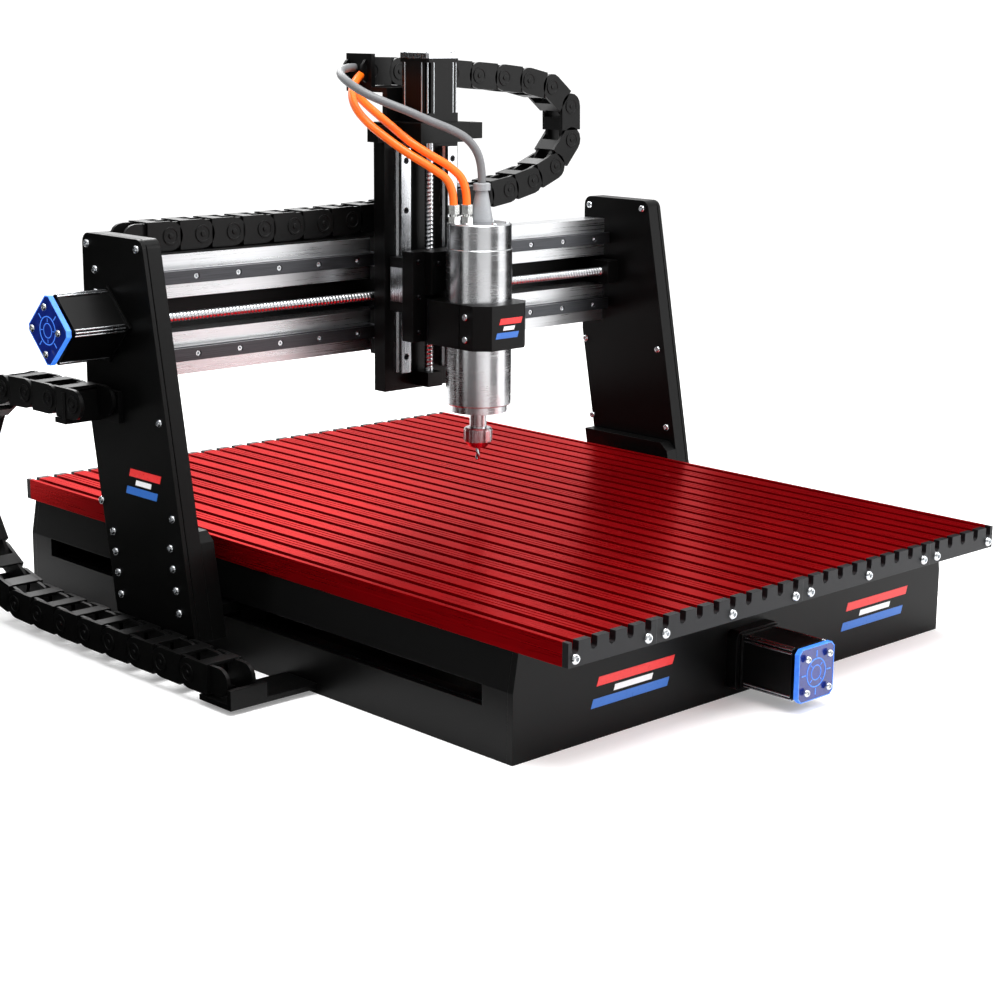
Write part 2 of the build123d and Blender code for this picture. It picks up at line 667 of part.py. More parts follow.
z_rail_x = (carriage_x - z_rail_offset, carriage_x + z_rail_offset)
pieces["z_rails"] = group(z_rail(x) for x in z_rail_x)
mount_half = motor_mount_front_width / 2
motor_mount = block(plate_x, (plate_front, plate_back), (z_plate_top, mount_top))
motor_mount += block((carriage_x - mount_half, carriage_x + mount_half),
                     (plate_back - motor_mount_reach, plate_back), (z_plate_top, mount_top))
motor_mount += block((plate_x[0] - motor_mount_wings[0], plate_x[1] + motor_mount_wings[1]),
                     (plate_front, plate_back), (z_plate_top, mount_top - 4))
motor_mount -= rod((carriage_x, z_screw_y, z_plate_top - 1), "z", motor_mount_height + 2,
                   coupling_radius + 2)
pieces["z_motor_mount"] = motor_mount
pieces["z_motor"] = Pos(carriage_x, z_screw_y, mount_top) * Rot(180, 0, 0) * motor(
    z_motor_size, z_motor_length, 6, 12)
half = 12.0
z_bearing = block((carriage_x - half, carriage_x + half), (z_screw_y - half, plate_front),
                  bottom_bearing_z) - rod((carriage_x, z_screw_y, bottom_bearing_z[0] - 1), "z",
                                          bottom_bearing_z[1] - bottom_bearing_z[0] + 2,
                                          screw_radius + screw_gap)
pieces["z_screw_bearing"] = z_bearing
shelf_z = (x_chain_top_z - x_chain_height - bracket_thickness, x_chain_top_z - x_chain_height)
bracket_x = (comb_x, comb_x + 76)
chain_bracket = block(bracket_x, (plate_back, plate_back + 8), (z_plate_top - 30, shelf_z[1]))
chain_bracket += block(bracket_x, (plate_back, chain_y[1]), shelf_z)
chain_bracket += block((comb_x, comb_x + 6), (chain_y[0] - 8, chain_y[1]), (shelf_z[0], x_chain_top_z + 4))
pieces["x_chain_bracket"] = chain_bracket

# ---- Z screw ---------------------------------------------------------------------------
z_screw_top = z_plate_top
z_screw_place = Pos(carriage_x, z_screw_y, z_screw_top)
pieces["z_ball_screw"] = z_screw_place * ball_screw(
    z_screw_top - bottom_bearing_z[0] - 1, 1, motor_mount_height + 8)

# ---- Z carriage ------------------------------------------------------------------------


def z_block(x):
    w = z_block_width / 2
    z = (z_block_bottom, z_block_bottom + z_block_length)
    body = block((x - w, x + w), (carriage_back, plate_front - block_foot_gap), z)
    return body - block((x - rail_size / 2 - block_gap, x + rail_size / 2 + block_gap),
                        (plate_front - rail_size - block_gap, plate_front), (z[0] - 1, z[1] + 1))


pieces["z_bearing_blocks"] = group(z_block(x) for x in z_rail_x)
carriage_half = carriage_plate_width / 2
pieces["z_carriage_plate"] = block((carriage_x - carriage_half, carriage_x + carriage_half),
                                   (carriage_front, carriage_back), carriage_plate_z)
pieces["z_ball_nut"] = block((carriage_x - 15, carriage_x + 15), (carriage_back, z_screw_y + 12),
                             z_nut_z) - rod((carriage_x, z_screw_y, z_nut_z[0] - 1), "z",
                                            z_nut_z[1] - z_nut_z[0] + 2, screw_radius + screw_gap)
head_half = head_block_width / 2
head_block = block((carriage_x - head_half, carriage_x + head_half),
                   (carriage_front - head_block_depth, carriage_front), head_block_z)
arch = 150.0
head_block -= rod((carriage_x, carriage_front - head_block_depth - 1, head_block_z[0] - arch + 5), "y",
                  head_block_depth + 2, arch)
pieces["spindle_head_block"] = head_block

clamp_points = [
    (-clamp_chamfer_back - 20, spindle_stand_off), (-clamp_half, spindle_stand_off - 12),
    (-clamp_half, -clamp_front + clamp_chamfer_back), (-clamp_nose_half, -clamp_front),
    (clamp_nose_half, -clamp_front), (clamp_half, -clamp_front + clamp_chamfer_back),
    (clamp_half, spindle_stand_off - 12), (clamp_chamfer_back + 20, spindle_stand_off)]
clamp = Pos(carriage_x, spindle_y, clamp_z[0]) * extrude(outline(clamp_points),
                                                         amount=clamp_z[1] - clamp_z[0])
clamp -= rod((carriage_x, spindle_y, clamp_z[0] - 1), "z", 60, spindle_radius + fit_gap)
clamp -= block((carriage_x - clamp_half - 1, carriage_x - spindle_radius + 1),
               (spindle_y - 14, spindle_y - 14 + clamp_slit), (clamp_z[0] - 1, clamp_z[1] + 1))
pieces["spindle_clamp"] = clamp


# ---- spindle ---------------------------------------------------------------------------
def spun(points):
    """A solid of revolution about the spindle's axis from radius and height pairs."""
    plane = Plane(origin=(0, 0, 0), x_dir=(1, 0, 0), z_dir=(0, -1, 0))
    return Pos(carriage_x, spindle_y, 0) * revolve(plane * outline(points), Axis.Z)


shaft_gap = shaft_radius + screw_gap
nose_bottom = spindle_z[0] - nose_height
shaft_top = spindle_z[1] - 16
pieces["spindle_body"] = spun([
    (shaft_gap, nose_bottom), (nose_radius, nose_bottom), (nose_radius, spindle_z[0]),
    (spindle_radius - 1, spindle_z[0]), (spindle_radius, spindle_z[0] + 1),
    (spindle_radius, spindle_z[1] - 1), (spindle_radius - 1, spindle_z[1]), (0, spindle_z[1]),
    (0, shaft_top + 1), (shaft_gap, shaft_top + 1)])
pieces["spindle_cap"] = spun([
    (0, spindle_z[1]), (cap_radius, spindle_z[1]), (cap_radius, cap_top - 1.5),
    (cap_radius - 1.5, cap_top), (0, cap_top)])


def fitting(place):
    x, y = carriage_x + place[0], spindle_y + place[1]
    nut = Pos(x, y, cap_top) * extrude(RegularPolygon(fitting_radius, 6, major_radius=False), amount=7)
    nut += rod((x, y, cap_top), "z", 12, fitting_radius - 1.5)
    nut += Pos(x, y, cap_top + 10) * extrude(
        RegularPolygon(fitting_radius, 6, major_radius=False), amount=fitting_height - 10)
    return nut


pieces["hose_fittings"] = group(fitting(p) for p in fitting_places)
relief_x, relief_y = carriage_x + relief_place[0], spindle_y + relief_place[1]
relief_points = [
    (0, 0), (relief_radius, 0), (relief_radius, 3), (relief_radius - 6, relief_height - 9),
    (relief_radius - 3, relief_height - 8.5), (relief_radius - 3, relief_height - 1),
    (relief_radius - 4, relief_height), (0, relief_height)]
relief_plane = Plane(origin=(0, 0, 0), x_dir=(1, 0, 0), z_dir=(0, -1, 0))
pieces["cable_strain_relief"] = Pos(relief_x, relief_y, cap_top) * revolve(
    relief_plane * outline(relief_points), Axis.Z)

nut_top, nut_bottom = shaft_bottom, shaft_bottom - collet_nut_height
pieces["spindle_shaft"] = spun([
    (0, shaft_bottom), (shaft_radius, shaft_bottom), (shaft_radius, shaft_top), (0, shaft_top)])
pieces["collet_nut"] = spun([
    (bit_radius + fit_gap, nut_bottom), (collet_nut_radius - 6, nut_bottom),
    (collet_nut_radius, nut_bottom + 7), (collet_nut_radius, nut_top - 1.5),
    (collet_nut_radius - 1.5, nut_top), (bit_radius + fit_gap, nut_top)])
bit_bottom = nut_bottom - bit_length
bit_points = [(0, nut_top), (bit_radius, nut_top), (bit_radius, bit_bottom + bit_radius)]
bit_points += [(bit_radius * math.cos(math.radians(a)), bit_bottom + bit_radius * (1 - math.sin(math.radians(a))))
               for a in (30, 60)] + [(0, bit_bottom)]
pieces["router_bit"] = spun(bit_points)

# ---- hoses and cable -------------------------------------------------------------------
hose_radius = 5.0
fitting_top = cap_top + fitting_height
relief_top = cap_top + relief_height
fit_a = (carriage_x + fitting_places[0][0], spindle_y + fitting_places[0][1])
fit_b = (carriage_x + fitting_places[1][0], spindle_y + fitting_places[1][1])
# hand-chosen way points, from the cable chain's end to the spindle's top
cord_routes = {
    "coolant_hose_1": [
        (comb_x, 181, 648), (-53, 164, 639), (-81, 132, 616), (-84, 104, 595), (-65, 82, 573),
        (-51, 62, 557), (-33, 46, 543), (*fit_a, fitting_top + 26), (*fit_a, fitting_top)],
    "coolant_hose_2": [
        (comb_x, 193, 637), (-42, 176, 629), (-50, 148, 615), (-54, 99, 593), (-48, 66, 572),
        (-31, 50, 557), (-9, 36, 543), (*fit_b, fitting_top + 26), (*fit_b, fitting_top)],
    "spindle_cable": [
        (comb_x, 196, 655), (-54, 180, 655), (-82, 154, 649), (-94, 124, 640), (-88, 98, 627),
        (-66, 78, 615), (-51, 62, 607), (-29, 50, 596), (-2, 38, 585), (17, 27, 572),
        (relief_x, relief_y, relief_top + 25), (relief_x, relief_y, relief_top)]}


def tube(name, points):
    """A round tube of straight runs joined by tangent arcs as wide as the runs allow."""
    spots = [Vector(*p) for p in points]
    radii = []
    for before, here, after in zip(spots, spots[1:], spots[2:]):
        turn = math.radians((here - before).get_angle(after - here))
        shorter = min((here - before).length, (after - here).length)
        radii.append(0.45 * shorter / math.tan(turn / 2))
    path = FilletPolyline(*points, radius=radii)
    first = (spots[1] - spots[0]).normalized()
    section = Plane(origin=points[0], z_dir=first) * Circle(hose_radius)
    solid = sweep(section, path=path)
    expected = math.pi * hose_radius ** 2 * path.length
    print(name, "length", round(path.length, 1), "radii", [round(r) for r in radii],
          "volume ratio", round(solid.volume / expected, 4))
    return solid


for name, points in cord_routes.items():
    pieces[name] = tube(name, points)

# ---- one STEP file per piece -----------------------------------------------------------
os.makedirs("parts", exist_ok=True)
for name, solid in pieces.items():
    solid.label = name
    export_step(solid, f"parts/{name}.step")
print(len(pieces), "pieces")
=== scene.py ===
import math

import bpy
import numpy as np
from mathutils import Matrix, Vector


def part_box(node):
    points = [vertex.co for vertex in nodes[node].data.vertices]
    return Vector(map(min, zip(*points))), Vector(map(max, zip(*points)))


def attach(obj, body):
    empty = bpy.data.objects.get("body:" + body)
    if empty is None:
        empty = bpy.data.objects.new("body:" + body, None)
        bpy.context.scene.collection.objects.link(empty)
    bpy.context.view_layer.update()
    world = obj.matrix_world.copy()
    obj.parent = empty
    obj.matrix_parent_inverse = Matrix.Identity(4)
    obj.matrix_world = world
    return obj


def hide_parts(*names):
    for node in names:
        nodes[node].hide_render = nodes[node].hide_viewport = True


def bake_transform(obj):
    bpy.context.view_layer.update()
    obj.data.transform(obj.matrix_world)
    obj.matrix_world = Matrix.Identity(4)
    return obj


bl_info = {
    "name": "Gantry router",
    "version": (1, 0, 0),
    "blender": (4, 5, 0),
    "location": "View3D > Sidebar > Router",
    "description": "Finishes and fine pieces of a desktop gantry CNC router",
    "category": "Object",
}

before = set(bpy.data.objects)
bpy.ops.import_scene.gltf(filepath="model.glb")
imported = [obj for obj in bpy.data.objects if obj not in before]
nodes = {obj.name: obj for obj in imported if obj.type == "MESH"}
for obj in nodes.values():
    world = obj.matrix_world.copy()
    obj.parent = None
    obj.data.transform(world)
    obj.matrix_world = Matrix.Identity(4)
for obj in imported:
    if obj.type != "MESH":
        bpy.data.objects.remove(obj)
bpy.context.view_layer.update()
MM = 0.001


# ---- colour, node and mesh helpers -----------------------------------------------------
def srgb(code):
    """The linear colour of an sRGB hex value."""
    parts = [int(code[i:i + 2], 16) / 255 for i in (1, 3, 5)]
    return (*[c / 12.92 if c <= 0.04045 else ((c + 0.055) / 1.055) ** 2.4 for c in parts], 1.0)


def add(tree, kind, inputs=None, **settings):
    """Adds a node with its settings; an input is a value or a socket to link from."""
    made = tree.nodes.new(kind)
    for key, value in settings.items():
        setattr(made, key, value)
    for key, value in (inputs or {}).items():
        if isinstance(value, bpy.types.NodeSocket):
            tree.links.new(value, made.inputs[key])
        else:
            made.inputs[key].default_value = value
    return made


def shade(colour, amount):
    return (*[min(1.0, c * amount) for c in colour[:3]], 1.0)


def finish(name, colour, metallic, roughness, grain_mm=2.0, stretch=(1, 1, 1), vary=0.1,
           rough_vary=0.06, bump_mm=0.02, edge_mm=0.6, coat=0.0, smear_mm=60.0, smear=0.0, **extra):
    """A surface with fine grain, broad smears and slightly rounded edges."""
    made = bpy.data.materials.new(name)
    made.use_nodes = True
    tree = made.node_tree
    shader = tree.nodes["Principled BSDF"]
    place = add(tree, "ShaderNodeTexCoord")
    along = add(tree, "ShaderNodeMapping", {"Vector": place.outputs["Object"], "Scale": stretch})
    grain = add(tree, "ShaderNodeTexNoise", {
        "Vector": along.outputs["Vector"], "Scale": 1000 / grain_mm, "Detail": 3.0, "Roughness": 0.6})
    broad = add(tree, "ShaderNodeTexNoise", {
        "Vector": place.outputs["Object"], "Scale": 1000 / smear_mm, "Detail": 4.0, "Roughness": 0.55})
    both = add(tree, "ShaderNodeMix", {
        "Factor": smear, 2: grain.outputs["Fac"], 3: broad.outputs["Fac"]}, data_type="FLOAT")
    tint = add(tree, "ShaderNodeValToRGB", {"Fac": both.outputs[0]})
    tint.color_ramp.elements[0].position = 0.3
    tint.color_ramp.elements[0].color = shade(colour, 1 - vary)
    tint.color_ramp.elements[1].position = 0.7
    tint.color_ramp.elements[1].color = shade(colour, 1 + vary)
    rough = add(tree, "ShaderNodeMapRange", {
        "Value": both.outputs[0], "From Min": 0.3, "From Max": 0.7,
        "To Min": max(0.02, roughness - rough_vary), "To Max": roughness + rough_vary})
    edge = add(tree, "ShaderNodeBevel", {"Radius": edge_mm * MM}, samples=4)
    relief = add(tree, "ShaderNodeBump", {
        "Height": grain.outputs["Fac"], "Strength": 0.5, "Distance": bump_mm * MM,
        "Normal": edge.outputs["Normal"]})
    tree.links.new(tint.outputs["Color"], shader.inputs["Base Color"])
    tree.links.new(rough.outputs["Result"], shader.inputs["Roughness"])
    tree.links.new(relief.outputs["Normal"], shader.inputs["Normal"])
    shader.inputs["Metallic"].default_value = metallic
    shader.inputs["Coat Weight"].default_value = coat
    shader.inputs["Coat Roughness"].default_value = 0.12
    for key, value in extra.items():
        shader.inputs[key].default_value = value
    return made


def new_mesh(name, verts, faces):
    mesh = bpy.data.meshes.new(name)
    mesh.from_pydata([tuple(v) for v in verts], [], faces)
    mesh.validate()
    mesh.update()
    return mesh


def joined(parts):
    """Several (points, faces) as one."""
    verts, faces = [], []
    for points, polys in parts:
        first = len(verts)
        verts += [Vector(p) for p in points]
        faces += [tuple(i + first for i in poly) for poly in polys]
    return verts, faces


def moved(part, matrix):
    points, polys = part
    return [matrix @ Vector(p) for p in points], polys


def spun(degrees, axis):
    return Matrix.Rotation(math.radians(degrees), 4, axis)


def around(radius, i, steps, height):
    """The i-th of so many points on a level circle round +Z."""
    a = 2 * math.pi * i / steps
    return Vector((radius * math.cos(a), radius * math.sin(a), height))


def skin(rows, steps, closed=False):
    """Faces between rings of points; the first and last ring are capped, or meet when closed."""
    faces = []
    for r in range(rows if closed else rows - 1):
        for i in range(steps):
            j, s = (i + 1) % steps, (r + 1) % rows
            faces.append((r * steps + i, r * steps + j, s * steps + j, s * steps + i))
    if not closed:
        faces += [tuple(reversed(range(steps))), tuple(range((rows - 1) * steps, rows * steps))]
    return faces


def turned(profile, steps=24):
    """A closed solid of revolution about +Z from (radius, height) pairs, bottom to top."""
    return [around(r, i, steps, h) for r, h in profile for i in range(steps)], skin(len(profile), steps)


def slab(outline, low, high):
    """A flat plate from an outline in X and Z, anticlockwise seen from -Y, between two Y values."""
    n = len(outline)
    points = [Vector((x, low, z)) for x, z in outline] + [Vector((x, high, z)) for x, z in outline]
    faces = [tuple(range(n)), tuple(reversed(range(n, 2 * n)))]
    for i in range(n):
        j = (i + 1) % n
        faces.append((i, i + n, j + n, j))
    return points, faces


def bar(low, high):
    (x0, y0, z0), (x1, y1, z1) = low, high
    return slab([(x0, z0), (x1, z0), (x1, z1), (x0, z1)], y0, y1)


def linked(name, data):
    """A new object in the scene."""
    made = bpy.data.objects.new(name, data)
    bpy.context.scene.collection.objects.link(made)
    return made


def evaluated(made):
    """An object's final shape as a plain mesh."""
    bpy.context.view_layer.update()
    return bpy.data.meshes.new_from_object(
        made.evaluated_get(bpy.context.evaluated_depsgraph_get()))


def mesh_of(name, curve):
    """A curve's final shape as a plain mesh."""
    holder = linked(name, curve)
    mesh = evaluated(holder)
    bpy.data.objects.remove(holder)
    return mesh


def piece(name, part, finish_name, body, smooth=None):
    """A finished object from (points, faces), riding on a body."""
    mesh = new_mesh(name, *part)
    mesh.materials.append(bpy.data.materials[finish_name])
    if smooth is not None:
        mesh.polygons.foreach_set("use_smooth", [True] * len(mesh.polygons))
        mesh.set_sharp_from_angle(angle=math.radians(smooth))
    made = linked(name, mesh)
    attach(made, body)
    return made


def lumps(node):
    """(low, high) corners of each separate solid in a CAD node's mesh."""
    mesh = nodes[node].data
    spots = np.array([v.co for v in mesh.vertices])
    keys = {}
    same = [keys.setdefault(tuple(k), len(keys)) for k in np.round(spots * 1e5).astype(int)]
    root = list(range(len(keys)))

    def find(i):
        while root[i] != i:
            root[i] = root[root[i]]
            i = root[i]
        return i
    for poly in mesh.polygons:
        ids = [same[i] for i in poly.vertices]
        for other in ids[1:]:
            a, b = find(ids[0]), find(other)
            if a != b:
                root[a] = b
    sets = {}
    for i, k in enumerate(same):
        sets.setdefault(find(k), []).append(i)
    boxes = [(Vector(spots[ids].min(0)), Vector(spots[ids].max(0))) for ids in sets.values()]
    return sorted(boxes, key=lambda b: tuple(round(c, 5) for c in b[0]))


# ---- repeating pieces: trees ------------------------------------------------------------
def new_tree(name, inputs, output):
    """An empty geometry tree with its sockets; inputs are (name, kind) pairs."""
    tree = bpy.data.node_groups.new(name, "GeometryNodeTree")
    for label, kind in inputs:
        tree.interface.new_socket(label, in_out="INPUT", socket_type="NodeSocket" + kind)
    tree.interface.new_socket(output, in_out="OUTPUT", socket_type="NodeSocketGeometry")
    return tree


def fastener_tree():
    """Puts one shape at each point, its own Z along the point's facing, turned at random."""
    tree = new_tree("Fasteners at points", (
        ("Points", "Geometry"), ("Fastener", "Object"), ("Size", "Float"), ("Finish", "Material")),
        "Fasteners")
    given = add(tree, "NodeGroupInput")
    shape = add(tree, "GeometryNodeObjectInfo", {"Object": given.outputs["Fastener"]})
    facing = add(tree, "GeometryNodeInputNamedAttribute", {"Name": "facing"}, data_type="FLOAT_VECTOR")
    lined = add(tree, "FunctionNodeAlignRotationToVector",
                {"Vector": facing.outputs["Attribute"]}, axis="Z")
    chance = add(tree, "FunctionNodeRandomValue", {2: 0.0, 3: 6.283, "Seed": 7}, data_type="FLOAT")
    turn = add(tree, "FunctionNodeAxisAngleToRotation", {
        "Axis": (0, 0, 1), "Angle": chance.outputs[1]})
    both = add(tree, "FunctionNodeRotateRotation", {
        "Rotation": lined.outputs["Rotation"], "Rotate By": turn.outputs["Rotation"]},
        rotation_space="LOCAL")
    placed = add(tree, "GeometryNodeInstanceOnPoints", {
        "Points": given.outputs["Points"], "Instance": shape.outputs["Geometry"],
        "Rotation": both.outputs["Rotation"], "Scale": given.outputs["Size"]})
    real = add(tree, "GeometryNodeRealizeInstances", {"Geometry": placed.outputs["Instances"]})
    done = add(tree, "GeometryNodeSetMaterial", {
        "Geometry": real.outputs["Geometry"], "Material": given.outputs["Finish"]})
    add(tree, "NodeGroupOutput", {"Fasteners": done.outputs["Geometry"]})
    return tree


def chain_tree(length_axis, pin_axis):
    """Puts one link at every pitch along a path, its length axis along the path."""
    tree = new_tree("Links along a path " + length_axis, (
        ("Path", "Geometry"), ("Link", "Object"), ("Pitch", "Float"), ("Finish", "Material")), "Chain")
    given = add(tree, "NodeGroupInput")
    shape = add(tree, "GeometryNodeObjectInfo", {"Object": given.outputs["Link"]})
    line = add(tree, "GeometryNodeMeshToCurve", {"Mesh": given.outputs["Path"]})
    spots = add(tree, "GeometryNodeCurveToPoints", {
        "Curve": line.outputs["Curve"], "Length": given.outputs["Pitch"]}, mode="LENGTH")
    # each link points at the next one's pin, as a rigid link does in a bend
    count = add(tree, "GeometryNodeInputIndex")
    after = add(tree, "ShaderNodeMath", {0: count.outputs["Index"], 1: 1.0}, operation="ADD")
    here = add(tree, "GeometryNodeInputPosition")
    following = add(tree, "GeometryNodeSampleIndex", {
        "Geometry": spots.outputs["Points"], "Value": here.outputs["Position"],
        "Index": after.outputs["Value"]}, data_type="FLOAT_VECTOR", clamp=True)
    chord = add(tree, "ShaderNodeVectorMath", {
        0: following.outputs["Value"], 1: here.outputs["Position"]}, operation="SUBTRACT")
    ahead = add(tree, "ShaderNodeVectorMath", {
        0: spots.outputs["Tangent"], 1: (0.001, 0.001, 0.001), 2: chord.outputs["Vector"]},
        operation="MULTIPLY_ADD")
    lined = add(tree, "FunctionNodeAlignRotationToVector", {"Vector": ahead.outputs["Vector"]},
                axis=length_axis, pivot_axis=pin_axis)
    placed = add(tree, "GeometryNodeInstanceOnPoints", {
        "Points": spots.outputs["Points"], "Instance": shape.outputs["Geometry"],
        "Rotation": lined.outputs["Rotation"]})
    real = add(tree, "GeometryNodeRealizeInstances", {"Geometry": placed.outputs["Instances"]})
    done = add(tree, "GeometryNodeSetMaterial", {
        "Geometry": real.outputs["Geometry"], "Material": given.outputs["Finish"]})
    add(tree, "NodeGroupOutput", {"Chain": done.outputs["Geometry"]})
    return tree


def grown(name, mesh, tree, inputs, finish_name):
    """The plain mesh that a tree makes from a mesh, as an object that has no modifier left."""
    made = linked(name, mesh)
    modifier = made.modifiers.new("Build", "NODES")
    modifier.node_group = tree
    values = {**inputs, "Finish": bpy.data.materials[finish_name]}
    for item in tree.interface.items_tree:
        if item.in_out == "INPUT" and item.name in values:
            modifier[item.identifier] = values[item.name]
    result = evaluated(made)
    if not result.polygons:
        raise RuntimeError(name + " came out empty")
    made.modifiers.clear()
    made.data = result
    result.materials.clear()
    result.materials.append(bpy.data.materials[finish_name])
    result.polygons.foreach_set("use_smooth", [True] * len(result.polygons))
    result.set_sharp_from_angle(angle=math.radians(32))
    return made


def pattern(name, part):
    """A shape that only serves as the model of a repeated one."""
    made = bpy.data.objects.new(name, new_mesh(name, *part))
    made.hide_render = made.hide_viewport = True
    return made


def socket_head(profile, socket, floor, steps=12):
    """A screw head, 1 in radius, from its side's (radius, height) pairs, with a hexagon socket."""
    points = [around(r, i, steps, h) for r, h in profile for i in range(steps)]
    for height in (profile[-1][1], floor):
        for i in range(steps):
            a = 2 * math.pi * i / steps
            flat = math.cos(math.pi / 6) / math.cos((a % (math.pi / 3)) - math.pi / 6)
            points.append(around(socket * flat, i, steps, height))
    return points, skin(len(profile) + 2, steps)


def button_head():
    """A domed head."""
    return socket_head([(1.0, 0.0), (1.0, 0.14), (0.93, 0.34), (0.76, 0.52), (0.56, 0.6)], 0.44, 0.22)


def cap_head():
    """A cylindrical head."""
    return socket_head([(1.0, -0.4), (1.0, 0.86), (0.9, 1.0), (0.62, 1.0)], 0.56, 0.4)


def fasteners(name, spots, shape, size_mm, finish_name, body, replaced=()):
    """Screws at (point, facing) places."""
    mesh = bpy.data.meshes.new(name)
    mesh.from_pydata([tuple(p) for p, _ in spots], [], [])
    facing = mesh.attributes.new("facing", "FLOAT_VECTOR", "POINT")
    facing.data.foreach_set("vector", [c for _, f in spots for c in f])
    tree = bpy.data.node_groups.get("Fasteners at points") or fastener_tree()
    made = grown(name, mesh, tree, {"Fastener": shape, "Size": size_mm * MM}, finish_name)
    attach(made, body)
    if replaced:
        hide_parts(*replaced)
    return made


def line_through(name, points, resolution=24):
    """A NURBS path's own points as a mesh of edges, and the path itself."""
    curve = bpy.data.curves.new(name + "_line", "CURVE")
    curve.dimensions = "3D"
    curve.resolution_u = resolution
    spline = curve.splines.new("NURBS")
    spline.points.add(len(points) - 1)
    for spot, point in zip(spline.points, points):
        spot.co = (*point, 1.0)
    spline.order_u = 3
    spline.use_endpoint_u = True
    return mesh_of(name + "_line", curve), curve


def whole_pitch(path, wanted):
    """The pitch nearest to the wanted one that divides the path into whole links."""
    spots = [v.co for v in path.vertices]
    length = sum((b - a).length for a, b in zip(spots, spots[1:]))
    return length / round(length / wanted) * 0.9998


# ---- settings ---------------------------------------------------------------------------
class RouterSizes(bpy.types.PropertyGroup):
    """Sizes of the fine pieces."""
    chain_pitch: bpy.props.FloatProperty(
        name="Link pitch", description="Length of one link of the cable chains", default=0.046,
        unit="LENGTH")
    chain_wall: bpy.props.FloatProperty(
        name="Link wall", description="Thickness of a link's side plate", default=0.004, unit="LENGTH")
    hose_diameter: bpy.props.FloatProperty(
        name="Hose diameter", description="Outer diameter of the coolant hoses and the spindle cable",
        default=0.010, unit="LENGTH")
    screw_pitch: bpy.props.FloatProperty(
        name="Screw pitch", description="Advance of the ball screws in one turn", default=0.005,
        unit="LENGTH")
    leg_head: bpy.props.FloatProperty(
        name="Leg screw head", description="Radius of the button heads on the legs", default=0.0048,
        unit="LENGTH")
    plate_head: bpy.props.FloatProperty(
        name="Table screw head", description="Radius of the button heads on the table's end plates",
        default=0.0056, unit="LENGTH")


class RouterColours(bpy.types.PropertyGroup):
    """Colours of the painted, dyed and moulded pieces."""
    table: bpy.props.FloatVectorProperty(
        name="Table", description="Dye of the anodised table panels", subtype="COLOR", size=4, min=0,
        max=1, default=srgb("#A6010D"))
    coat: bpy.props.FloatVectorProperty(
        name="Powder coat", description="Colour of the coated plates", subtype="COLOR", size=4, min=0,
        max=1, default=srgb("#040404"))
    hose: bpy.props.FloatVectorProperty(
        name="Hoses", description="Colour of the coolant hoses", subtype="COLOR", size=4, min=0, max=1,
        default=srgb("#FF6A08"))
    cable: bpy.props.FloatVectorProperty(
        name="Spindle cable", description="Colour of the cable's sheath", subtype="COLOR", size=4,
        min=0, max=1, default=srgb("#6A6B6D"))
    cover: bpy.props.FloatVectorProperty(
        name="Motor covers", description="Colour of the acrylic motor covers", subtype="COLOR", size=4,
        min=0, max=1, default=srgb("#0F2272"))
    stripe_one: bpy.props.FloatVectorProperty(
        name="First stripe", description="Upper stripe of the badges", subtype="COLOR", size=4, min=0,
        max=1, default=srgb("#E02020"))
    stripe_two: bpy.props.FloatVectorProperty(
        name="Second stripe", description="Lower stripe of the badges", subtype="COLOR", size=4, min=0,
        max=1, default=srgb("#1E62B8"))


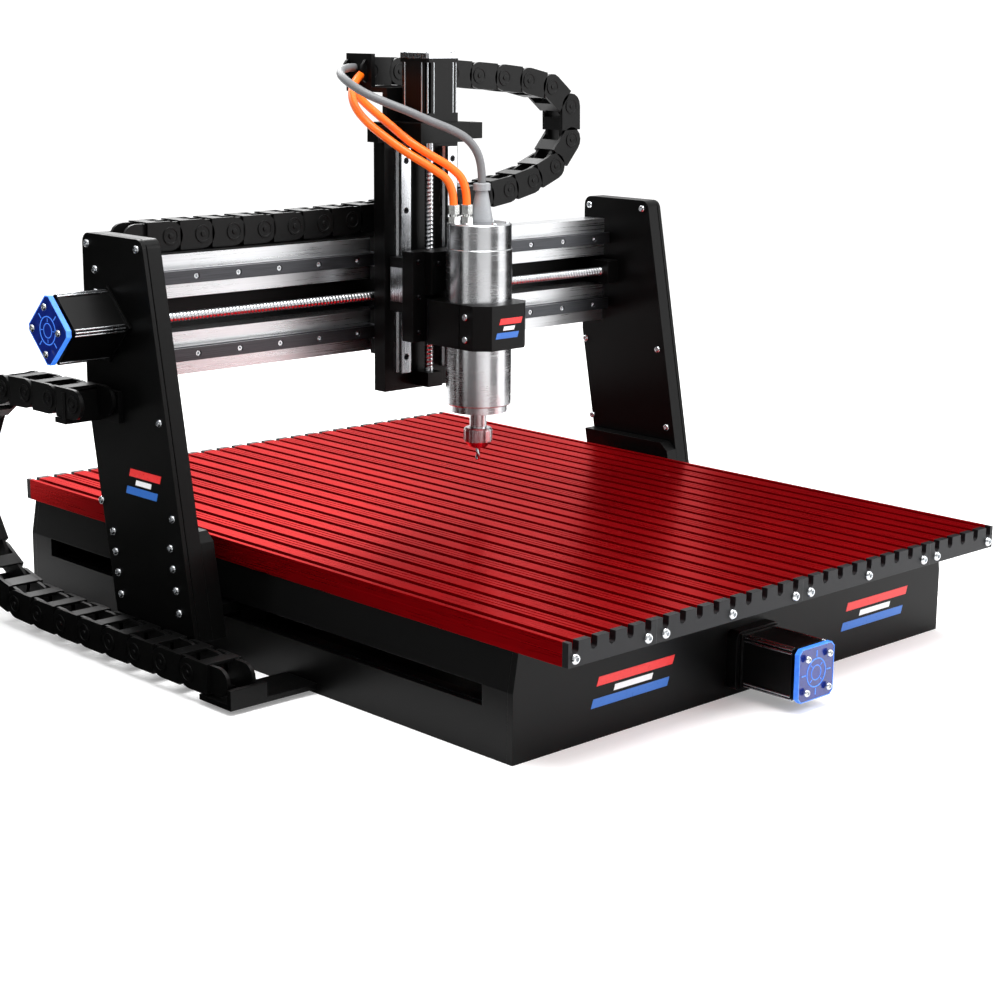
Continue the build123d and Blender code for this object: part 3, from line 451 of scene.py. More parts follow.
# ---- operators --------------------------------------------------------------------------
class ROUTER_OT_finishes(bpy.types.Operator):
    """Makes every finish and gives it to the CAD pieces"""
    bl_idname = "router.finishes"
    bl_label = "Finishes"

    def execute(self, context):
        colour = context.scene.router_colours
        # Baked powder on milled steel: a low, even orange-peel skin with a soft sheen.
        finish("Powder-coated steel", tuple(colour.coat), 0.0, 0.36, grain_mm=1.6, bump_mm=0.03,
               vary=0.12, edge_mm=0.9, smear=0.35, smear_mm=120,
               **{"Specular IOR Level": 0.14})
        # Extruded and dyed: drawing lines run the length of the panel, and the dye stays bright.
        finish("Anodised aluminium, red", tuple(colour.table), 0.8, 0.3, grain_mm=1.2,
               stretch=(1, 0.012, 1), vary=0.18, rough_vary=0.07, bump_mm=0.02, edge_mm=0.7,
               smear=0.3, smear_mm=90, coat=0.02,
               **{"Specular Tint": srgb("#FF4050")})
        finish("Anodised aluminium, black", srgb("#1C1C1E"), 0.6, 0.4, grain_mm=1.0, bump_mm=0.01,
               edge_mm=0.6)
        # Linished along the beam: long fine scratches and bright, slightly uneven bands.
        finish("Brushed aluminium", srgb("#D6D7D9"), 1.0, 0.3, grain_mm=1.0, stretch=(0.01, 1, 1),
               vary=0.1, rough_vary=0.08, bump_mm=0.03, edge_mm=0.5, smear=0.35, smear_mm=70)
        finish("Ground steel, dark", srgb("#4A4B4E"), 1.0, 0.34, grain_mm=0.8, stretch=(0.02, 1, 1),
               vary=0.2, bump_mm=0.01, edge_mm=0.5)
        finish("Ground steel, bright", srgb("#C4C6C9"), 1.0, 0.24, grain_mm=0.8, stretch=(1, 1, 0.02),
               vary=0.1, bump_mm=0.01, edge_mm=0.4)
        # Turned on a lathe: rings round the axis, with fingerprints' broad smears over them.
        finish("Turned stainless steel", srgb("#C8C9CB"), 1.0, 0.23, grain_mm=1.1,
               stretch=(0.02, 0.02, 1), vary=0.12, rough_vary=0.09, bump_mm=0.012, edge_mm=0.6,
               smear=0.5, smear_mm=26)
        finish("Zinc-plated steel", srgb("#D4D7DA"), 1.0, 0.22, grain_mm=2.5, vary=0.1, bump_mm=0.01,
               edge_mm=0.2)
        finish("Black oxide steel", srgb("#2A2A2C"), 1.0, 0.35, grain_mm=1.5, vary=0.15,
               bump_mm=0.01, edge_mm=0.3)
        finish("Nickel-plated brass", srgb("#DADBD8"), 1.0, 0.14, grain_mm=3, vary=0.06, bump_mm=0.004,
               edge_mm=0.4)
        finish("Carbide", srgb("#B9BCC0"), 1.0, 0.16, grain_mm=0.6, vary=0.08, bump_mm=0.01, edge_mm=0.1)
        # Injection moulded with a fine spark-eroded texture that scuffs to grey.
        finish("Glass-filled nylon", srgb("#050505"), 0.0, 0.4, grain_mm=1.2, bump_mm=0.05,
               vary=0.25, smear=0.4, smear_mm=35, edge_mm=0.7, **{"Specular IOR Level": 0.18})
        finish("Polyurethane hose", tuple(colour.hose), 0.0, 0.38, grain_mm=3, vary=0.07,
               bump_mm=0.02, edge_mm=0.2, smear=0.3, smear_mm=30, **{"Subsurface Weight": 0.05})
        finish("PVC cable sheath", tuple(colour.cable), 0.0, 0.48, grain_mm=1.8, vary=0.1, bump_mm=0.03,
               edge_mm=0.2)
        finish("Moulded grey nylon", srgb("#8B8D90"), 0.0, 0.45, grain_mm=1.4, vary=0.08, bump_mm=0.03,
               edge_mm=0.5)
        finish("Cast acrylic, blue", tuple(colour.cover), 0.0, 0.08, grain_mm=20, vary=0.25,
               rough_vary=0.02, bump_mm=0.0, edge_mm=0.6, coat=0.6, **{"IOR": 1.49})
        # Painted glow: a lighter blue and a weak emission at the cut edges and the engraved lines stand in
        # for the light that the acrylic carries there.
        finish("Cast acrylic, lit edge", srgb("#3F82F0"), 0.0, 0.35, grain_mm=4, vary=0.2,
               bump_mm=0.01, edge_mm=0.2,
               **{"Emission Color": srgb("#2F6BE0"), "Emission Strength": 0.3})
        finish("Vinyl, white", srgb("#E9EAEC"), 0.0, 0.35, grain_mm=3, vary=0.03, bump_mm=0.0)
        finish("Vinyl, first stripe", tuple(colour.stripe_one), 0.0, 0.33, grain_mm=3, vary=0.05,
               bump_mm=0.0)
        finish("Vinyl, second stripe", tuple(colour.stripe_two), 0.0, 0.33, grain_mm=3, vary=0.05,
               bump_mm=0.0)
        wanted = {
            "Anodised aluminium, red": [n for n in nodes if n.startswith("table_panel_")],
            "Anodised aluminium, black": ["table_end_plates"],
            "Brushed aluminium": ["gantry_beams", "table_cross_members"],
            "Ground steel, dark": ["x_rails", "y_rails", "y_ball_nut", "x_ball_nut", "y_bearing_blocks"],
            "Ground steel, bright": ["z_rails", "z_ball_nut", "x_bearing_blocks", "z_bearing_blocks",
                                     "collet_nut"],
            "Turned stainless steel": ["spindle_body", "spindle_cap", "spindle_shaft"],
            "Nickel-plated brass": ["hose_fittings"],
            "Moulded grey nylon": ["cable_strain_relief"],
            "Cast acrylic, blue": ["x_motor_cover", "y_motor_cover"],
            "Glass-filled nylon": ["x_chain_bracket", "x_chain_tray"],
        }
        chosen = {n: m for m, names in wanted.items() for n in names}
        for name, made in nodes.items():
            made.data.materials.clear()
            made.data.materials.append(bpy.data.materials[chosen.get(name, "Powder-coated steel")])
        return {"FINISHED"}


class ROUTER_OT_screws(bpy.types.Operator):
    """Button-head screws on the legs and the table's end plates, cap screws elsewhere"""
    bl_idname = "router.screws"
    bl_label = "Screws"

    def execute(self, context):
        sizes = context.scene.router_sizes
        button = pattern("button_head", button_head())
        cap = pattern("cap_head", cap_head())
        leg_low, leg_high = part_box("gantry_leg_left")
        spots = []
        for low, high in lumps("leg_screws"):
            middle = (low + high) / 2
            side = 1 if middle.x > 0 else -1
            if max(abs(low.x), abs(high.x)) > abs(leg_low.x):
                spots.append((Vector((side * abs(leg_low.x), middle.y, middle.z)), (side, 0, 0)))
            else:
                spots.append((Vector((side * abs(leg_high.x), middle.y, middle.z)), (-side, 0, 0)))
        fasteners("leg_button_screws", spots, button, sizes.leg_head / MM, "Zinc-plated steel",
                  "gantry", ["leg_screws"])
        table_low, table_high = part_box("table_end_plates")
        spots = []
        for low, high in lumps("table_plate_screws"):
            middle = (low + high) / 2
            back = middle.y > (table_low.y + table_high.y) / 2
            y = table_high.y if back else table_low.y
            spots.append((Vector((middle.x, y, middle.z)), (0, 1 if back else -1, 0)))
        fasteners("table_button_screws", spots, button, sizes.plate_head / MM, "Zinc-plated steel",
                  "base", ["table_plate_screws"])
        # Cap screws that hold the rails, deep in their counterbores.
        gap, sunk, rail_middle = 0.06, 0.0045, 0.0075
        low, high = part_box("x_rails")
        count = int(round((high.x - low.x) / gap))
        spots = [(Vector((low.x + gap / 2 + i * gap, low.y + sunk, z)), (0, -1, 0))
                 for i in range(count) for z in (low.z + rail_middle, high.z - rail_middle)]
        fasteners("x_rail_screws", spots, cap, 3.4, "Zinc-plated steel", "gantry")
        low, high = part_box("z_rails")
        spots = [(Vector((x, low.y + sunk, low.z + 0.02 + i * gap)), (0, -1, 0))
                 for i in range(5) for x in (low.x + rail_middle, high.x - rail_middle)]
        fasteners("z_rail_screws", spots, cap, 3.4, "Black oxide steel", "x_carriage")
        # Clamp screws, head block screws and the screws of the carriage plate.
        clamp_low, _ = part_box("spindle_clamp")
        spots = [(Vector((clamp_low.x, clamp_low.y + 0.026, clamp_low.z + h)), (-1, 0, 0))
                 for h in (0.013, 0.040)]
        fasteners("clamp_screws", spots, cap, 4.2, "Zinc-plated steel", "z_carriage")
        plate_low, plate_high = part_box("z_carriage_plate")
        block_low, block_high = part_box("spindle_head_block")
        spots = [(Vector((x, plate_low.y, z)), (0, -1, 0))
                 for x in (plate_low.x + 0.008, plate_high.x - 0.008)
                 for z in (plate_low.z + 0.012, plate_low.z + 0.055, plate_high.z - 0.012)]
        spots += [(Vector((x, block_low.y, block_high.z - 0.014)), (0, -1, 0))
                  for x in (block_low.x + 0.010, block_low.x + 0.024, block_high.x - 0.010)]
        fasteners("carriage_plate_screws", spots, cap, 3.0, "Black oxide steel", "z_carriage")
        spots = []
        low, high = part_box("spindle_cap")
        middle, circle = (low + high) / 2, 0.033
        for i in range(6):
            a = math.radians(20 + 60 * i)
            spots.append((Vector((
                middle.x + circle * math.cos(a), middle.y + circle * math.sin(a), high.z)), (0, 0, 1)))
        fasteners("spindle_cap_screws", spots, button, 3.4, "Zinc-plated steel", "z_carriage")
        low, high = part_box("z_motor")
        inset = 0.006
        spots = [(Vector((x, y, high.z + 0.0002)), (0, 0, 1)) for x in (low.x + inset, high.x - inset)
                 for y in (low.y + inset, high.y - inset)]
        fasteners("z_motor_screws", spots, button, 3.2, "Zinc-plated steel", "x_carriage")
        return {"FINISHED"}


def chain_link(pitch, height, width, wall):
    """One link: a stepped side plate on each side with its pin, and two cross bars."""
    parts = []
    r = height / 2

    def rounded(x0, x1, radius, round_left):
        arc = [math.pi / 2 + math.pi * i / 8 for i in range(9)]
        if round_left:
            left = [(x0 + radius * math.cos(a), radius * math.sin(a)) for a in arc]
            points = left + [(x1, -radius), (x1, radius)]
        else:
            right = [(x1 - radius * math.cos(a), -radius * math.sin(a)) for a in arc]
            points = [(x0, radius), (x0, -radius)] + right
        return points
    for side in (-1, 1):
        far = width / 2

        def layer(outline, inner, outer):
            low, high = sorted((side * inner, side * outer))
            return slab(outline, low, high)
        parts.append(layer(rounded(0, pitch * 0.55, r * 0.92, True), far - 2 * wall, far - wall))
        parts.append(layer(rounded(pitch * 0.3, pitch, r, False), far - wall, far))
        disc = turned([(r * 0.62, 0), (r * 0.62, wall * 0.3), (r * 0.5, wall * 0.3),
                       (r * 0.48, wall * 0.12), (r * 0.2, wall * 0.12), (r * 0.18, wall * 0.42),
                       (r * 0.1, wall * 0.45)], 14)
        turn = spun(90 if side < 0 else -90, "X")
        parts.append(moved(disc, Matrix.Translation((pitch, side * far, 0)) @ turn))
    inner = width / 2 - wall * 0.9
    for z in (-r, r - 0.003):
        parts.append(bar((pitch * 0.32, -inner, z), (pitch * 0.68, inner, z + 0.003)))
    return joined(parts)


CHAIN_HEIGHT = 0.034
CHAIN_EDGE = 0.018              # from the loop's top or bottom to the middle of a run
CHAIN_START = 0.022             # from the loop's end to the first pin


def hang_chain(axis, points, width, wall, wanted_pitch):
    """A cable chain, link by link along the points."""
    path, _ = line_through(axis + "_chain", points)
    pitch = whole_pitch(path, wanted_pitch)
    turn = spun(0 if axis == "x" else 90, "Z")
    link = pattern(axis + "_link", moved(chain_link(pitch, CHAIN_HEIGHT, width - 0.002, wall), turn))
    tree = chain_tree("X", "Y") if axis == "x" else chain_tree("Y", "X")
    return grown(axis + "_cable_chain", path, tree, {"Link": link, "Pitch": pitch},
                 "Glass-filled nylon")


class ROUTER_OT_chains(bpy.types.Operator):
    """The two cable chains, link by link"""
    bl_idname = "router.chains"
    bl_label = "Cable chains"

    def execute(self, context):
        sizes = context.scene.router_sizes
        low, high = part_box("x_chain")
        middle = (low.y + high.y) / 2
        bottom, top = low.z + CHAIN_EDGE, high.z - CHAIN_EDGE
        # the run on the tray, the turn that droops to the right, and the run to the carriage
        route = [(low.x + CHAIN_START, bottom), (-0.28, bottom), (-0.19, bottom),
                 (-0.10, bottom + 0.001), (0.0, bottom + 0.004), (0.09, bottom + 0.010),
                 (0.17, bottom + 0.019), (0.255, bottom + 0.032), (0.318, bottom + 0.056),
                 (0.342, bottom + 0.094), (0.340, top - 0.050), (0.302, top - 0.020),
                 (0.22, top - 0.010), (0.13, top - 0.004), (0.08, top - 0.001), (0.031, top)]
        chain = hang_chain("x", [(x, middle, z) for x, z in route], high.y - low.y,
                           sizes.chain_wall, sizes.chain_pitch)
        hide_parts("x_chain")
        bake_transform(chain)
        low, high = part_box("y_chain")
        middle = (low.x + high.x) / 2
        bottom, top = low.z + CHAIN_EDGE, high.z - CHAIN_EDGE
        # the run beside the base, the turn behind the machine, and the run to the leg
        route = [(low.y + CHAIN_START, bottom), (-0.04, bottom), (0.05, bottom), (0.14, bottom),
                 (0.23, bottom), (0.325, bottom + 0.002), (0.400, bottom + 0.040),
                 (0.430, bottom + 0.127), (0.400, top - 0.040), (0.325, top - 0.002), (0.25, top),
                 (0.20, top)]
        chain = hang_chain("y", [(middle, y, z) for y, z in route], high.x - low.x,
                           sizes.chain_wall * 1.1, sizes.chain_pitch * 1.12)
        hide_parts("y_chain")
        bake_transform(chain)
        return {"FINISHED"}


class ROUTER_OT_hoses(bpy.types.Operator):
    """The two coolant hoses and the spindle's cable"""
    bl_idname = "router.hoses"
    bl_label = "Hoses and cable"

    def execute(self, context):
        sizes = context.scene.router_sizes
        routes = {
            "coolant_hose_1": [
                (-23, 181, 648), (-53, 164, 639), (-81, 132, 616), (-84, 104, 595), (-65, 82, 573),
                (-51, 62, 557), (-33, 46, 543), (-8, 30.5, 523), (-8, 30.5, 497)],
            "coolant_hose_2": [
                (-23, 193, 637), (-42, 176, 629), (-50, 148, 615), (-54, 99, 593), (-48, 66, 572),
                (-31, 50, 557), (-9, 36, 543), (7, 23.5, 523), (7, 23.5, 497)],
            "spindle_cable": [
                (-23, 196, 655), (-54, 180, 655), (-82, 154, 649), (-94, 124, 640), (-88, 98, 627),
                (-66, 78, 615), (-51, 62, 607), (-29, 50, 596), (-2, 38, 585), (17, 27, 572),
                (29, 20.5, 547), (29, 20.5, 522)]}
        for name, route in routes.items():
            points = [tuple(c * MM for c in p) for p in route]
            line, curve = line_through(name, points, resolution=12)
            curve.bevel_depth = sizes.hose_diameter / 2
            curve.bevel_resolution = 5
            curve.use_fill_caps = True
            mesh = mesh_of(name + "_tube", curve)
            mesh.materials.clear()
            mesh.materials.append(bpy.data.materials[
                "PVC cable sheath" if name == "spindle_cable" else "Polyurethane hose"])
            mesh.polygons.foreach_set("use_smooth", [True] * len(mesh.polygons))
            made = linked(name + "_run", mesh)
            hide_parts(name)
            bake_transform(made)
        return {"FINISHED"}


def threaded(length, radius, pitch, steps=14):
    """A rod with a rounded screw groove, along +Z from 0."""
    rows = int(length / (pitch / 5))
    points = []
    for i in range(rows + 1):
        h = length * i / rows
        for j in range(steps):
            phase = (h / pitch - j / steps) % 1.0
            groove = 0.0011 * max(0.0, math.sin(math.pi * phase)) ** 1.5
            points.append(around(radius - groove, j, steps, h))
    return points, skin(rows + 1, steps)


def coupling(radius, length):
    """A clamp coupling with a groove round its middle."""
    middle, groove = length / 2, radius - 0.0015
    return turned([
        (radius - 0.0008, 0), (radius, 0.0008), (radius, middle - 0.0012), (groove, middle - 0.0008),
        (groove, middle + 0.0008), (radius, middle + 0.0012), (radius, length - 0.0008),
        (radius - 0.0008, length)], 24)


class ROUTER_OT_ball_screws(bpy.types.Operator):
    """The three ball screws with their threads, spigots and couplings"""
    bl_idname = "router.ball_screws"
    bl_label = "Ball screws"

    def execute(self, context):
        pitch = context.scene.router_sizes.screw_pitch
        # each is drawn along +Z from its plain end to its coupling, and then turned to its motor
        for node, body, axis in (("x_ball_screw", "x_screw", "x"), ("y_ball_screw", "y_screw", "y"),
                                 ("z_ball_screw", "z_screw", "z")):
            low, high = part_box(node)
            middle = (low + high) / 2
            turn = {"x": spun(-90, "Y"), "y": spun(90, "X"), "z": Matrix.Identity(4)}[axis]
            total = {"x": high.x - low.x, "y": high.y - low.y, "z": high.z - low.z}[axis]
            start = {"x": Vector((high.x, middle.y, middle.z)), "y": Vector((middle.x, high.y, middle.z)),
                     "z": Vector((middle.x, middle.y, low.z))}[axis]
            spigot = {"x": 0.033, "y": 0.031, "z": 0.032}[axis]
            gap = {"x": 0.0015, "y": 0.0005, "z": 0.001}[axis]
            shaft = total - spigot
            plain_end, radius = 0.0225, 0.0059
            parts = [turned([(0.005, 0), (radius, 0.001), (radius, 0.022), (0.0055, plain_end)], 20)]
            parts.append(moved(threaded(shaft - 2 * plain_end, radius, pitch),
                               Matrix.Translation((0, 0, plain_end))))
            parts.append(moved(turned([(0.0055, 0), (radius, 0.0005), (radius, plain_end), (0.0039, 0.0228),
                                       (0.0039, plain_end + spigot - 0.0005),
                                       (0.0035, plain_end + spigot)], 20),
                               Matrix.Translation((0, 0, shaft - plain_end))))
            parts.append(moved(coupling(0.011, 0.020), Matrix.Translation((0, 0, shaft + gap))))
            part = moved(joined(parts), Matrix.Translation(start) @ turn)
            made = piece(axis + "_threaded_screw", part, "Ground steel, bright", body, smooth=35)
            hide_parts(node)
        return {"FINISHED"}


def bevelled_bar(low, high, cut):
    """A bar whose upright corners are cut off."""
    (x0, y0, z0), (x1, y1, z1) = low, high
    ring = [(x0 + cut, y0), (x1 - cut, y0), (x1, y0 + cut), (x1, y1 - cut), (x1 - cut, y1),
            (x0 + cut, y1), (x0, y1 - cut), (x0, y0 + cut)]
    return [Vector((x, y, z)) for z in (z0, z1) for x, y in ring], skin(2, len(ring))


def facing_out(axis, spot):
    """Puts a part drawn along +Z so that it looks away from the machine; X parts stand on a corner."""
    turn = spun(-90, "Y") @ spun(45, "Z") if axis == "x" else spun(90, "X")
    return Matrix.Translation(spot) @ turn


class ROUTER_OT_motors(bpy.types.Operator):
    """Tie rods of the motors, the Z motor's end plate and the cover screws of the X and Y motors"""
    bl_idname = "router.motors"
    bl_label = "Motor details"

    def execute(self, context):
        low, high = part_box("z_motor")
        plate = bevelled_bar((low.x - 0.0002, low.y - 0.0002, high.z - 0.006),
                             (high.x + 0.0002, high.y + 0.0002, high.z + 0.0002), 0.0027)
        piece("z_motor_end_plate", plate, "Ground steel, bright", "x_carriage")
        # three tie rods stand in each notched corner of the Z motor
        rods = []
        for sx, x in ((-1, low.x), (1, high.x)):
            for sy, y in ((-1, low.y), (1, high.y)):
                for dx, dy in ((3.4, 3.4), (10.5, 0.5), (0.5, 10.5)):
                    spot = (x - sx * dx * MM, y - sy * dy * MM, low.z + 0.011)
                    rods.append(moved(turned([(0.0011, 0), (0.0011, 0.060)], 10), Matrix.Translation(spot)))
        piece("z_motor_tie_rods", joined(rods), "Zinc-plated steel", "x_carriage", smooth=40)
        for node, body, axis in (("x_motor", "gantry", "x"), ("y_motor", "base", "y")):
            low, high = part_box(node)
            middle = (low + high) / 2
            flange, corner, head = 0.003, 0.0185, 0.0042
            spot = {"x": (high.x - flange, middle.y, middle.z),
                    "y": (middle.x, high.y - flange, middle.z)}[axis]
            rods, caps = [], []
            for sx in (-1, 1):
                for sy in (-1, 1):
                    for x, y in ((0.0272, 0.0272), (0.0286, 0.0236), (0.0236, 0.0286)):
                        rods.append(moved(turned([(0.0012, 0), (0.0012, 0.064)], 10),
                                          Matrix.Translation((sx * x, sy * y, 0.002))))
                    caps.append(moved(button_head(), Matrix.Translation(
                        (sx * corner, sy * corner, 0.0801)) @ Matrix.Scale(head, 4)))
                    rods.append(moved(turned([(0.0027, 0), (0.0027, 0.0052)], 12),
                                      Matrix.Translation((sx * corner, sy * corner, 0.0659))))
            place = facing_out(axis, spot)
            piece(axis + "_motor_tie_rods", moved(joined(rods), place), "Zinc-plated steel", body,
                  smooth=40)
            piece(axis + "_motor_cover_screws", moved(joined(caps), place), "Zinc-plated steel", body,
                  smooth=40)
        return {"FINISHED"}


def ring(outer, inner, low, high, steps=40):
    """A flat ring about +Z."""
    side = ((outer, low), (outer, high), (inner, high), (inner, low))
    return [around(r, i, steps, h) for r, h in side for i in range(steps)], skin(4, steps, closed=True)


class ROUTER_OT_covers(bpy.types.Operator):
    """Edges and a plain engraved sight on the motor covers, with a painted glow for the light that the
    acrylic carries
    """
    bl_idname = "router.covers"
    bl_label = "Motor covers"

    def execute(self, context):
        for node, body, axis in (("x_motor_cover", "gantry", "x"), ("y_motor_cover", "base", "y")):
            low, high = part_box(node)
            middle = (low + high) / 2
            spot = {"x": (low.x, middle.y, middle.z), "y": (middle.x, low.y, middle.z)}[axis]
            half, cut = 0.0295, 0.00495
            outline = [(-half + cut, -half), (half - cut, -half), (half, -half + cut), (half, half - cut),
                       (half - cut, half), (-half + cut, half), (-half, half - cut), (-half, -half + cut)]
            inner = [(x * 0.972, y * 0.972) for x, y in outline]
            back, front = -0.0058, 0.0003
            # the outer rings stand a touch proud of the cover's own edge
            points = [Vector((x * 1.004, y * 1.004, h)) for h in (back, front) for x, y in outline]
            points += [Vector((x, y, h)) for h in (front, back) for x, y in inner]
            faces = skin(4, len(outline), closed=True)
            deep = -0.001
            lines = [ring(0.0162, 0.0150, deep, front), ring(0.0085, 0.0076, deep, front)]
            for i in range(4):
                lines.append(moved(bar((0.0178, -0.0006, deep), (0.0245, 0.0006, front)),
                                   spun(90 * i, "Z")))
                lines.append(moved(bar((0.0098, -0.0004, deep), (0.0136, 0.0004, front)),
                                   spun(90 * i + 45, "Z")))
            place = facing_out(axis, spot)
            # the edge ring and the engraved lines carry the painted glow, a weak emission and a lighter
            # blue
            piece(axis + "_cover_edge", moved((points, faces), place), "Cast acrylic, lit edge", body)
            piece(axis + "_cover_lines", moved(joined(lines), place), "Cast acrylic, lit edge", body)
        return {"FINISHED"}


class ROUTER_OT_bit(bpy.types.Operator):
    """The two-flute ball-nose bit and the collet nut's lands"""
    bl_idname = "router.bit"
    bl_label = "Router bit"

    def execute(self, context):
        low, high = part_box("router_bit")
        middle = (low + high) / 2
        radius, flutes, shank, twist = 0.0031, 0.018, 0.004, 260
        points, steps, rows = [], 24, 40
        for i in range(rows + 1):
            h = (flutes + shank) * i / rows
            ball = math.sqrt(max(0.0, 1 - (1 - min(1.0, h / radius)) ** 2)) if h < radius else 1.0
            cut = min(1.0, max(0.0, (flutes - h) / 0.003))
            for j in range(steps):
                wave = abs(math.cos(2 * math.pi * j / steps + h * twist))
                r = radius * ball * (1 - 0.5 * cut * (1 - wave ** 0.8))
                points.append(around(max(r, 0.0001), j, steps, h))
        place = Matrix.Translation((middle.x, middle.y, low.z))
        made = piece("ball_nose_bit", moved((points, skin(rows + 1, steps)), place), "Carbide",
                     "spindle_rotor", smooth=35)
        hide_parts("router_bit")
        low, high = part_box("collet_nut")
        middle = (low + high) / 2
        # eight raised lands stand between the nut's wrench slots
        lands = []
        for i in range(8):
            lands.append(moved(bar((0.0160, -0.0036, low.z + 0.0085), (0.0176, 0.0036, high.z - 0.003)),
                               Matrix.Translation((middle.x, middle.y, 0)) @ spun(45 * i, "Z")))
        piece("collet_nut_lands", joined(lands), "Ground steel, bright", "spindle_rotor")
        return {"FINISHED"}


class ROUTER_OT_badges(bpy.types.Operator):
    """Plain striped badges in place of any marking"""
    bl_idname = "router.badges"
    bl_label = "Badges"

    def execute(self, context):
        def stripes(name, place, width, height, body, skew=0.35):
            """Three slanted bars, drawn in X and Z and facing -Y, then put in place."""
            bars = [("Vinyl, first stripe", 0.70, 1.0), ("Vinyl, white", 0.40, 0.60),
                    ("Vinyl, second stripe", 0.0, 0.30)]
            for i, (finish_name, low, high) in enumerate(bars):
                z0, z1 = low * height, high * height
                short = 0.25 * width if i == 1 else 0
                outline = [(skew * z0 + short, z0), (width - short + skew * z0, z0),
                           (width - short + skew * z1, z1), (skew * z1 + short, z1)]
                piece(f"{name}_stripe_{i + 1}", moved(slab(outline, -0.0002, 0.0001), place),
                      finish_name, body)
        leg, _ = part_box("gantry_leg_left")
        stripes("leg_left", Matrix.Translation((leg.x, leg.y + 0.128, leg.z + 0.150)) @ spun(-90, "Z"),
                0.060, 0.030, "gantry")
        stripes("leg_right", Matrix.Translation((-leg.x, leg.y + 0.068, leg.z + 0.150)) @ spun(90, "Z"),
                0.060, 0.030, "gantry")
        panel_low, panel_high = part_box("base_end_panels")
        stripes("front_left", Matrix.Translation((panel_low.x + 0.110, panel_low.y, panel_low.z + 0.034)),
                0.115, 0.032, "base")
        stripes("front_right", Matrix.Translation((panel_high.x - 0.190, panel_low.y, panel_low.z + 0.034)),
                0.115, 0.032, "base")
        clamp_low, clamp_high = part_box("spindle_clamp")
        stripes("clamp", Matrix.Translation(((clamp_low.x + clamp_high.x) / 2 - 0.021, clamp_low.y,
                                             clamp_low.z + 0.014)), 0.036, 0.024, "z_carriage")
        return {"FINISHED"}


class ROUTER_OT_blocks(bpy.types.Operator):
    """End caps on the rail blocks"""
    bl_idname = "router.blocks"
    bl_label = "Rail block caps"

    def execute(self, context):
        proud = 0.0003
        caps = []
        for low, high in lumps("z_bearing_blocks"):
            for z0, z1 in ((low.z - proud, low.z + 0.012), (high.z - 0.012, high.z + proud)):
                for x0, x1 in ((low.x - proud, low.x + 0.0088), (high.x - 0.0088, high.x + proud)):
                    caps.append(bar((x0, low.y - proud, z0), (x1, high.y + proud, z1)))
        piece("z_block_caps", joined(caps), "Glass-filled nylon", "z_carriage")
        caps = []
        for low, high in lumps("x_bearing_blocks"):
            for x0, x1 in ((low.x - proud, low.x + 0.011), (high.x - 0.011, high.x + proud)):
                for z0, z1 in ((low.z - proud, low.z + 0.019), (high.z - 0.019, high.z + proud)):
                    caps.append(bar((x0, low.y + proud, z0), (x1, high.y + proud, z1)))
        piece("x_block_caps", joined(caps), "Glass-filled nylon", "x_carriage")
        return {"FINISHED"}


def plain(name, colour, roughness, shine):
    """A surface of one colour, for the stage."""
    made = bpy.data.materials.new(name)
    made.use_nodes = True
    shader = made.node_tree.nodes["Principled BSDF"]
    shader.inputs["Base Color"].default_value = srgb(colour)
    shader.inputs["Roughness"].default_value = roughness
    shader.inputs["Specular IOR Level"].default_value = shine
    return made


def mirrored(name, corners, paint):
    """A flat card that only shiny surfaces see."""
    made = linked(name, new_mesh(name, corners, [(0, 1, 2, 3)]))
    made.data.materials.append(paint)
    made.visible_camera = made.visible_diffuse = made.visible_shadow = False
    return made


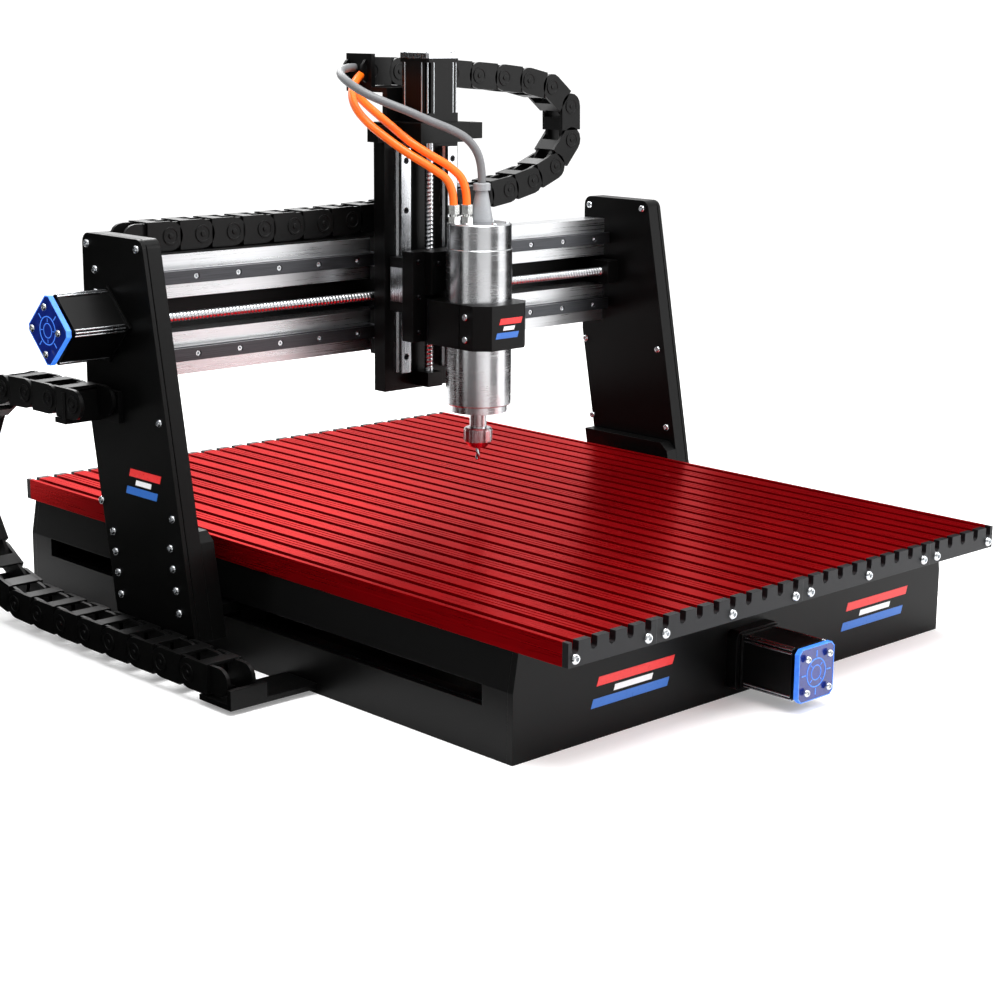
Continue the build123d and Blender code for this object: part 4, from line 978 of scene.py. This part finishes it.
class ROUTER_OT_stage(bpy.types.Operator):
    """Floor, soft lights and camera"""
    bl_idname = "router.stage"
    bl_label = "Stage"

    def execute(self, context):
        scene = context.scene
        floor = linked("floor", new_mesh("floor", [
            (-40, -40, 0), (40, -40, 0), (40, 40, 0), (-40, 40, 0)], [(0, 1, 2, 3)]))
        paper = plain("Seamless paper", "#F4F4F4", 0.9, 0.1)
        # the far floor is lit up to the same white as the tent behind it
        shader = paper.node_tree.nodes["Principled BSDF"]
        glow = add(paper.node_tree, "ShaderNodeLightPath")
        lift = add(paper.node_tree, "ShaderNodeMath", {0: glow.outputs["Is Camera Ray"], 1: 0.24},
                   operation="MULTIPLY")
        paper.node_tree.links.new(lift.outputs[0], shader.inputs["Emission Strength"])
        shader.inputs["Emission Color"].default_value = (1, 1, 1, 1)
        floor.data.materials.append(paper)
        # cards round the set: upright metal mirrors them as bands
        distance, tall = 1.35, Vector((0, 0, 0.9))
        for bearing, half_width, tone in ((89, 0.75, "#0C0C0C"), (167, 0.36, "#4A4A4A"),
                                          (245, 0.38, "#6A6A6A"), (325, 0.49, "#141414")):
            a = math.radians(bearing)
            out = Vector((math.sin(a), math.cos(a), 0)) * distance
            side = Vector((math.cos(a), -math.sin(a), 0)) * half_width
            card = mirrored("card", (out - side, out + side, out + side + tall, out - side + tall),
                            plain("Card at " + str(bearing), tone, 0.5, 0.0))
        # a dark sheet beside the machine keeps the white floor out of its left side
        sheet = mirrored("sheet", ((-1.8, -1.2, 0.003), (-0.47, -1.2, 0.003), (-0.47, 0.9, 0.003),
                                   (-1.8, 0.9, 0.003)), plain("Dark sheet", "#141414", 0.5, 0.0))
        world = bpy.data.worlds.new("Studio")
        world.use_nodes = True
        tree = world.node_tree
        place = add(tree, "ShaderNodeTexCoord")
        parts = add(tree, "ShaderNodeSeparateXYZ", {"Vector": place.outputs["Generated"]})
        # a bright tent whose left wall is dark, so that the faces on that side stay black
        dark = add(tree, "ShaderNodeMapRange", {
            "Value": parts.outputs["X"], "From Min": -0.9, "From Max": -0.3, "To Min": 0.06, "To Max": 1.0})
        up = add(tree, "ShaderNodeMapRange", {
            "Value": parts.outputs["Z"], "From Min": 0.25, "From Max": 0.7, "To Min": 0.0, "To Max": 1.0})
        level = add(tree, "ShaderNodeMix", {"Factor": up.outputs["Result"], 2: dark.outputs["Result"],
                                            3: 1.0}, data_type="FLOAT")
        seen = add(tree, "ShaderNodeLightPath")
        final = add(tree, "ShaderNodeMix", {"Factor": seen.outputs["Is Camera Ray"],
                                            2: level.outputs[0], 3: 2.0}, data_type="FLOAT")
        background = tree.nodes["Background"]
        background.inputs["Color"].default_value = (1, 1, 1, 1)
        tree.links.new(final.outputs[0], background.inputs["Strength"])
        scene.world = world
        for name, energy, size, spot, aim in (
                ("key", 70, 1.6, (-0.2, -0.7, 2.4), (0, 0, 0.2)),
                ("fill", 38, 1.8, (1.6, -2.2, 1.2), (0, 0, 0.3)),
                ("rim", 40, 1.4, (0.8, 2.0, 1.8), (0, 0, 0.3))):
            light = bpy.data.lights.new(name, "AREA")
            light.energy, light.size = energy, size
            made = linked(name, light)
            made.location = spot
            made.rotation_mode = "QUATERNION"
            made.rotation_quaternion = (Vector(aim) - Vector(spot)).to_track_quat("-Z", "Y")
        lens = bpy.data.cameras.new("camera")
        lens.sensor_width, lens.lens = 36, 75.3
        lens.clip_end = 200
        camera = linked("camera", lens)
        azimuth, drop, roll = math.radians(43.69), math.radians(12.98), math.radians(0.53)
        level_ahead = Vector((math.sin(azimuth), math.cos(azimuth), 0))
        ahead = level_ahead * math.cos(drop) - Vector((0, 0, math.sin(drop)))
        level_right = Vector((math.cos(azimuth), -math.sin(azimuth), 0))
        level_up = level_right.cross(ahead)
        right = level_right * math.cos(roll) + level_up * math.sin(roll)
        up = level_up * math.cos(roll) - level_right * math.sin(roll)
        turn = Matrix((right, up, -ahead)).transposed()
        camera.matrix_world = Matrix.Translation((-1.708, -1.8345, 0.716)) @ turn.to_4x4()
        scene.camera = camera
        scene.view_settings.view_transform = "Standard"
        return {"FINISHED"}


class ROUTER_PT_panel(bpy.types.Panel):
    """Lists the router's pieces"""
    bl_idname = "ROUTER_PT_panel"
    bl_label = "Gantry router"
    bl_space_type = "VIEW_3D"
    bl_region_type = "UI"
    bl_category = "Router"

    def draw(self, context):
        for group in (context.scene.router_sizes, context.scene.router_colours):
            for key in group.bl_rna.properties.keys():
                if key not in ("rna_type", "name"):
                    self.layout.prop(group, key)
        for step in STEPS:
            self.layout.operator(step.bl_idname)


STEPS = (ROUTER_OT_stage, ROUTER_OT_finishes, ROUTER_OT_hoses, ROUTER_OT_chains, ROUTER_OT_screws,
         ROUTER_OT_ball_screws, ROUTER_OT_motors, ROUTER_OT_covers, ROUTER_OT_bit, ROUTER_OT_blocks,
         ROUTER_OT_badges)
CLASSES = (RouterSizes, RouterColours, *STEPS, ROUTER_PT_panel)


def register():
    for cls in CLASSES:
        bpy.utils.register_class(cls)
    bpy.types.Scene.router_sizes = bpy.props.PointerProperty(type=RouterSizes)
    bpy.types.Scene.router_colours = bpy.props.PointerProperty(type=RouterColours)


def unregister():
    del bpy.types.Scene.router_colours
    del bpy.types.Scene.router_sizes
    for cls in reversed(CLASSES):
        bpy.utils.unregister_class(cls)


def main():
    register()
    bpy.ops.router.stage()
    bpy.ops.router.finishes()
    bpy.ops.router.hoses()
    bpy.ops.router.chains()
    bpy.ops.router.screws()
    bpy.ops.router.ball_screws()
    bpy.ops.router.motors()
    bpy.ops.router.covers()
    bpy.ops.router.bit()
    bpy.ops.router.blocks()
    bpy.ops.router.badges()


if __name__ == "__main__":
    main()
